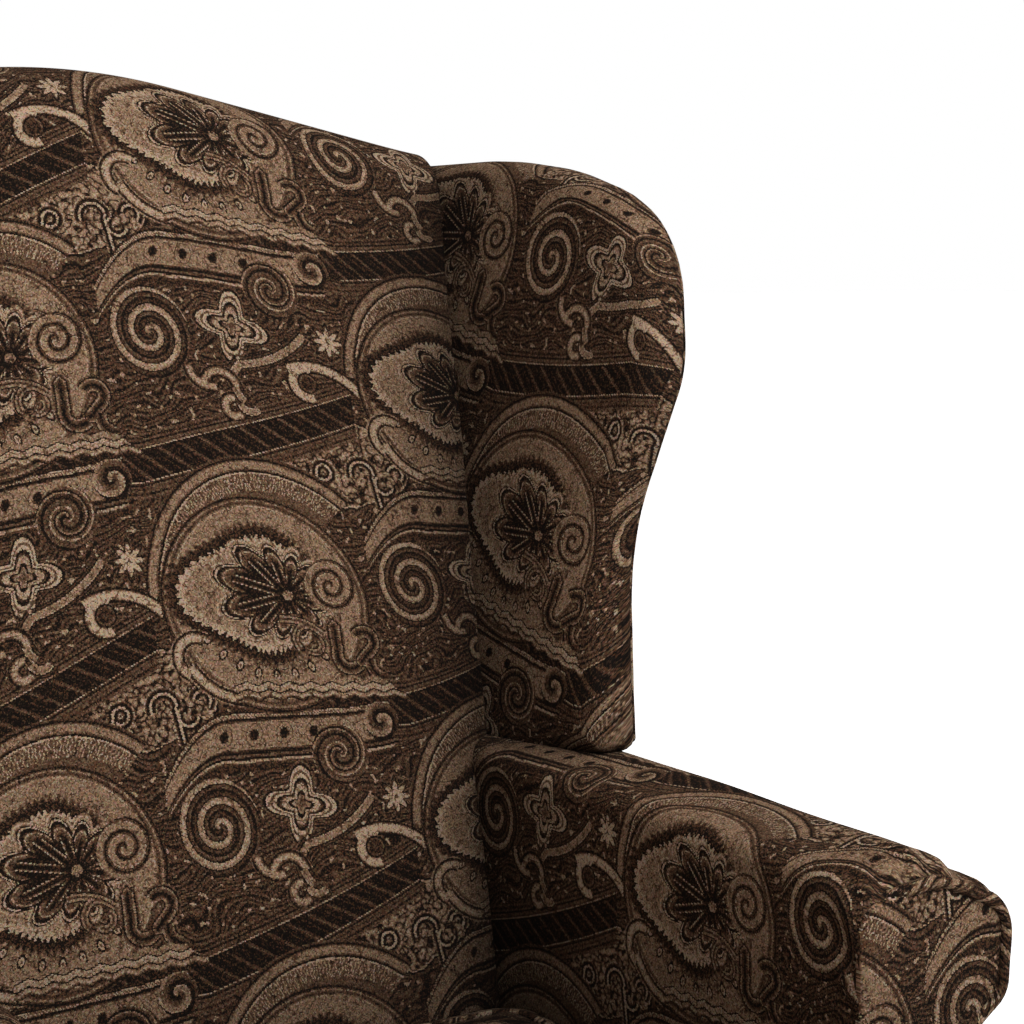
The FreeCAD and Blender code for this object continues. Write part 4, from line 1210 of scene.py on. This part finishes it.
def webbing_cloth(tree, dark, light):
    """Jute straps with a herringbone."""
    place = node(tree, "TexCoord", {}, "Object")
    herringbone = fract((place.z * 1000 + fold(place.x * 1000, 6)) / 2.4)
    shade = herringbone * 0.45 + noise(place, 0.002, 2) * 0.6
    return {"Base Color": ramp(shade, {0.2: dark, 0.8: light}, smooth=True), "Roughness": 0.95}


def material(name, surface, *values):
    made = bpy.data.materials.new(name)
    made.use_nodes = True
    connect(made.node_tree.nodes["Principled BSDF"], surface(made.node_tree, *values))
    return made


tapestry = material("tapestry", tapestry_cloth)
deck_cloth = material("deck_cloth", plain_cloth, srgb(38, 28, 21), srgb(66, 50, 39), 0.8)
dust_cloth = material("dust_cloth", plain_cloth, srgb(30, 28, 27), srgb(60, 57, 55), 0.6)
ALONG_X, ALONG_Y, ALONG_Z = (0.06, 1, 1), (1, 0.06, 1), (1, 1, 0.06)
rail_wood, side_wood, post_wood = [
    material("frame_wood_" + way, wood, srgb(150, 116, 78), srgb(206, 174, 130), grain, 0.7)
    for way, grain in (("across", ALONG_X), ("deep", ALONG_Y), ("upright", ALONG_Z))]
leg_wood = material("leg_wood", wood, srgb(26, 14, 8), srgb(74, 42, 24), ALONG_Z, 0.32)
spring_steel = material("spring_steel", metal, srgb(92, 94, 98), srgb(132, 134, 138), 0.35)
zinc_steel = material("zinc_steel", metal, srgb(150, 152, 156), srgb(196, 198, 200), 0.3)
brass = material("zip_metal", metal, srgb(110, 86, 46), srgb(168, 138, 84), 0.35)
webbing = material("webbing", webbing_cloth, srgb(96, 74, 48), srgb(176, 148, 108))

# Finishes of the solids that are shown as they are
FINISHES = {
    rail_wood: ("crest_rail", "lower_back_rail", "rear_rail", "front_rail"),
    side_wood: ("side_rail", "arm_board", "arm_stretcher", "corner_blocks"),
    post_wood: ("back_post", "arm_stump", "wing_frame"),
    leg_wood: ("front_leg", "rear_leg"),
    spring_steel: ("seat_springs",),
    zinc_steel: ("spring_clips", "leg_bolts", "block_screws", "glides"),
    brass: ("zip_chain", "zip_slider"),
    webbing: ("back_webbing",),
}


def finish_solids():
    for finish, names in FINISHES.items():
        for name in names:
            for solid in (name, name + "_left", name + "_right"):
                if solid in nodes:
                    nodes[solid].data.materials.clear()
                    nodes[solid].data.materials.append(finish)


finish_solids()

# Putting the pieces on their bodies

back = inside_back()
dress(back, "chair", tapestry, ("inside_back_cover", "back_foam", "crest_wadding"))

inside, outside = arm_pieces()
panel = arm_panel()
welt = arm_welt()
wing_in, wing_out, wing_seam = wing_pieces()
for piece, slot, replaced, fill, carried_by in (
    (inside, "tapestry", ("inside_arm_cover", "arm_foam"), 0.9, ()),
    (outside, "tapestry", ("outside_arm_cover",), None, ("arm_board", "side_rail")),
    (panel, "tapestry", ("arm_front_panel",), None, ("arm_stump",)),
    (welt, "piping", ("arm_welt",), None, ()),
    (wing_in, "tapestry", ("inside_wing_cover", "wing_foam"), 0.85, ()),
    (wing_out, "tapestry", ("outside_wing_cover",), None, ("wing_frame",)),
    (wing_seam, "piping", (), None, ()),
):
    for side in ("_left", "_right"):
        twin = piece if side == "_left" else mirrored(piece, piece.name.replace("_left", "_right"))
        dress(twin, "chair", tapestry, [n + side for n in replaced],
              [n + side for n in carried_by])

dress(outside_back(), "chair", tapestry, ("outside_back_cover",),
      ("crest_rail", "rear_rail", "back_post_left", "back_post_right"))
dress(front_border(), "chair", tapestry, ("front_border",), ("front_rail",))
dress(deck(), "chair", deck_cloth, ("deck_cover", "deck_pad", "front_edge_roll"))
dress(dust_cover(), "chair", dust_cloth, ("dust_cover",),
      ("side_rail_left", "side_rail_right", "front_rail", "rear_rail"))
dress(cushion(), "cushion", tapestry,
      ("cushion_core", "cushion_top_panel", "cushion_bottom_panel", "cushion_boxing"))
for piece in cushion_welts():
    dress(piece, "cushion", tapestry, ("cushion_welts",))

# Floor, light and camera

def floor_paint():
    """Pale floor that the camera sees as white as the background."""
    paint = bpy.data.materials.new("floor_paint")
    paint.use_nodes = True
    tree = paint.node_tree
    tree.nodes.remove(tree.nodes["Principled BSDF"])
    level = mix(0.75, 2.6, node(tree, "LightPath", {}, "Is Camera Ray"))
    colour = node(tree, "CombineColor", {0: level, 1: level, 2: level})
    connect(tree.nodes["Material Output"], {"Surface": node(tree, "BsdfDiffuse", {"Color": colour})})
    return paint


floor = new_object("floor", [(-60, -60, 0), (60, -60, 0), (60, 60, 0), (-60, 60, 0)], [(0, 1, 2, 3)])
floor.data.materials.append(floor_paint())


def studio():
    """White all round for the camera. As a light it is soft and strongest from the front and above."""
    world = bpy.data.worlds.new("studio")
    bpy.context.scene.world = world
    world.use_nodes = True
    tree = world.node_tree
    facing = most(dot(node(tree, "TexCoord", {}, "Generated"), (0.0, -0.7071, 0.7071)), 0.0)
    level = mix(facing * facing * 0.95 + 0.1, 1.0, node(tree, "LightPath", {}, "Is Camera Ray"))
    connect(tree.nodes["Background"], {"Color": (1, 1, 1, 1), "Strength": level})


studio()

key_data = bpy.data.lights.new("softbox", "AREA")
key_data.shape = "SQUARE"
key_data.size = 1.1
key_data.energy = 32
key = placed("softbox", key_data)
key.location = (0.1, -1.85, 2.6)
key.rotation_euler = (Vector((0.0, 0.2, 0.95)) - key.location).to_track_quat("-Z", "Y").to_euler()

camera_data = bpy.data.cameras.new("camera")
camera_data.sensor_width = 36
camera_data.lens = 36 * 2331.7 / 1024
camera = placed("camera", camera_data)
camera.location = (-0.6646, SEAT_LINE - 1.4204, 1.0102)
camera.rotation_euler = Euler((math.radians(90 - 6.1), 0, math.radians(-32.8)))
bpy.context.scene.camera = camera
bpy.context.scene.view_settings.view_transform = "Standard"
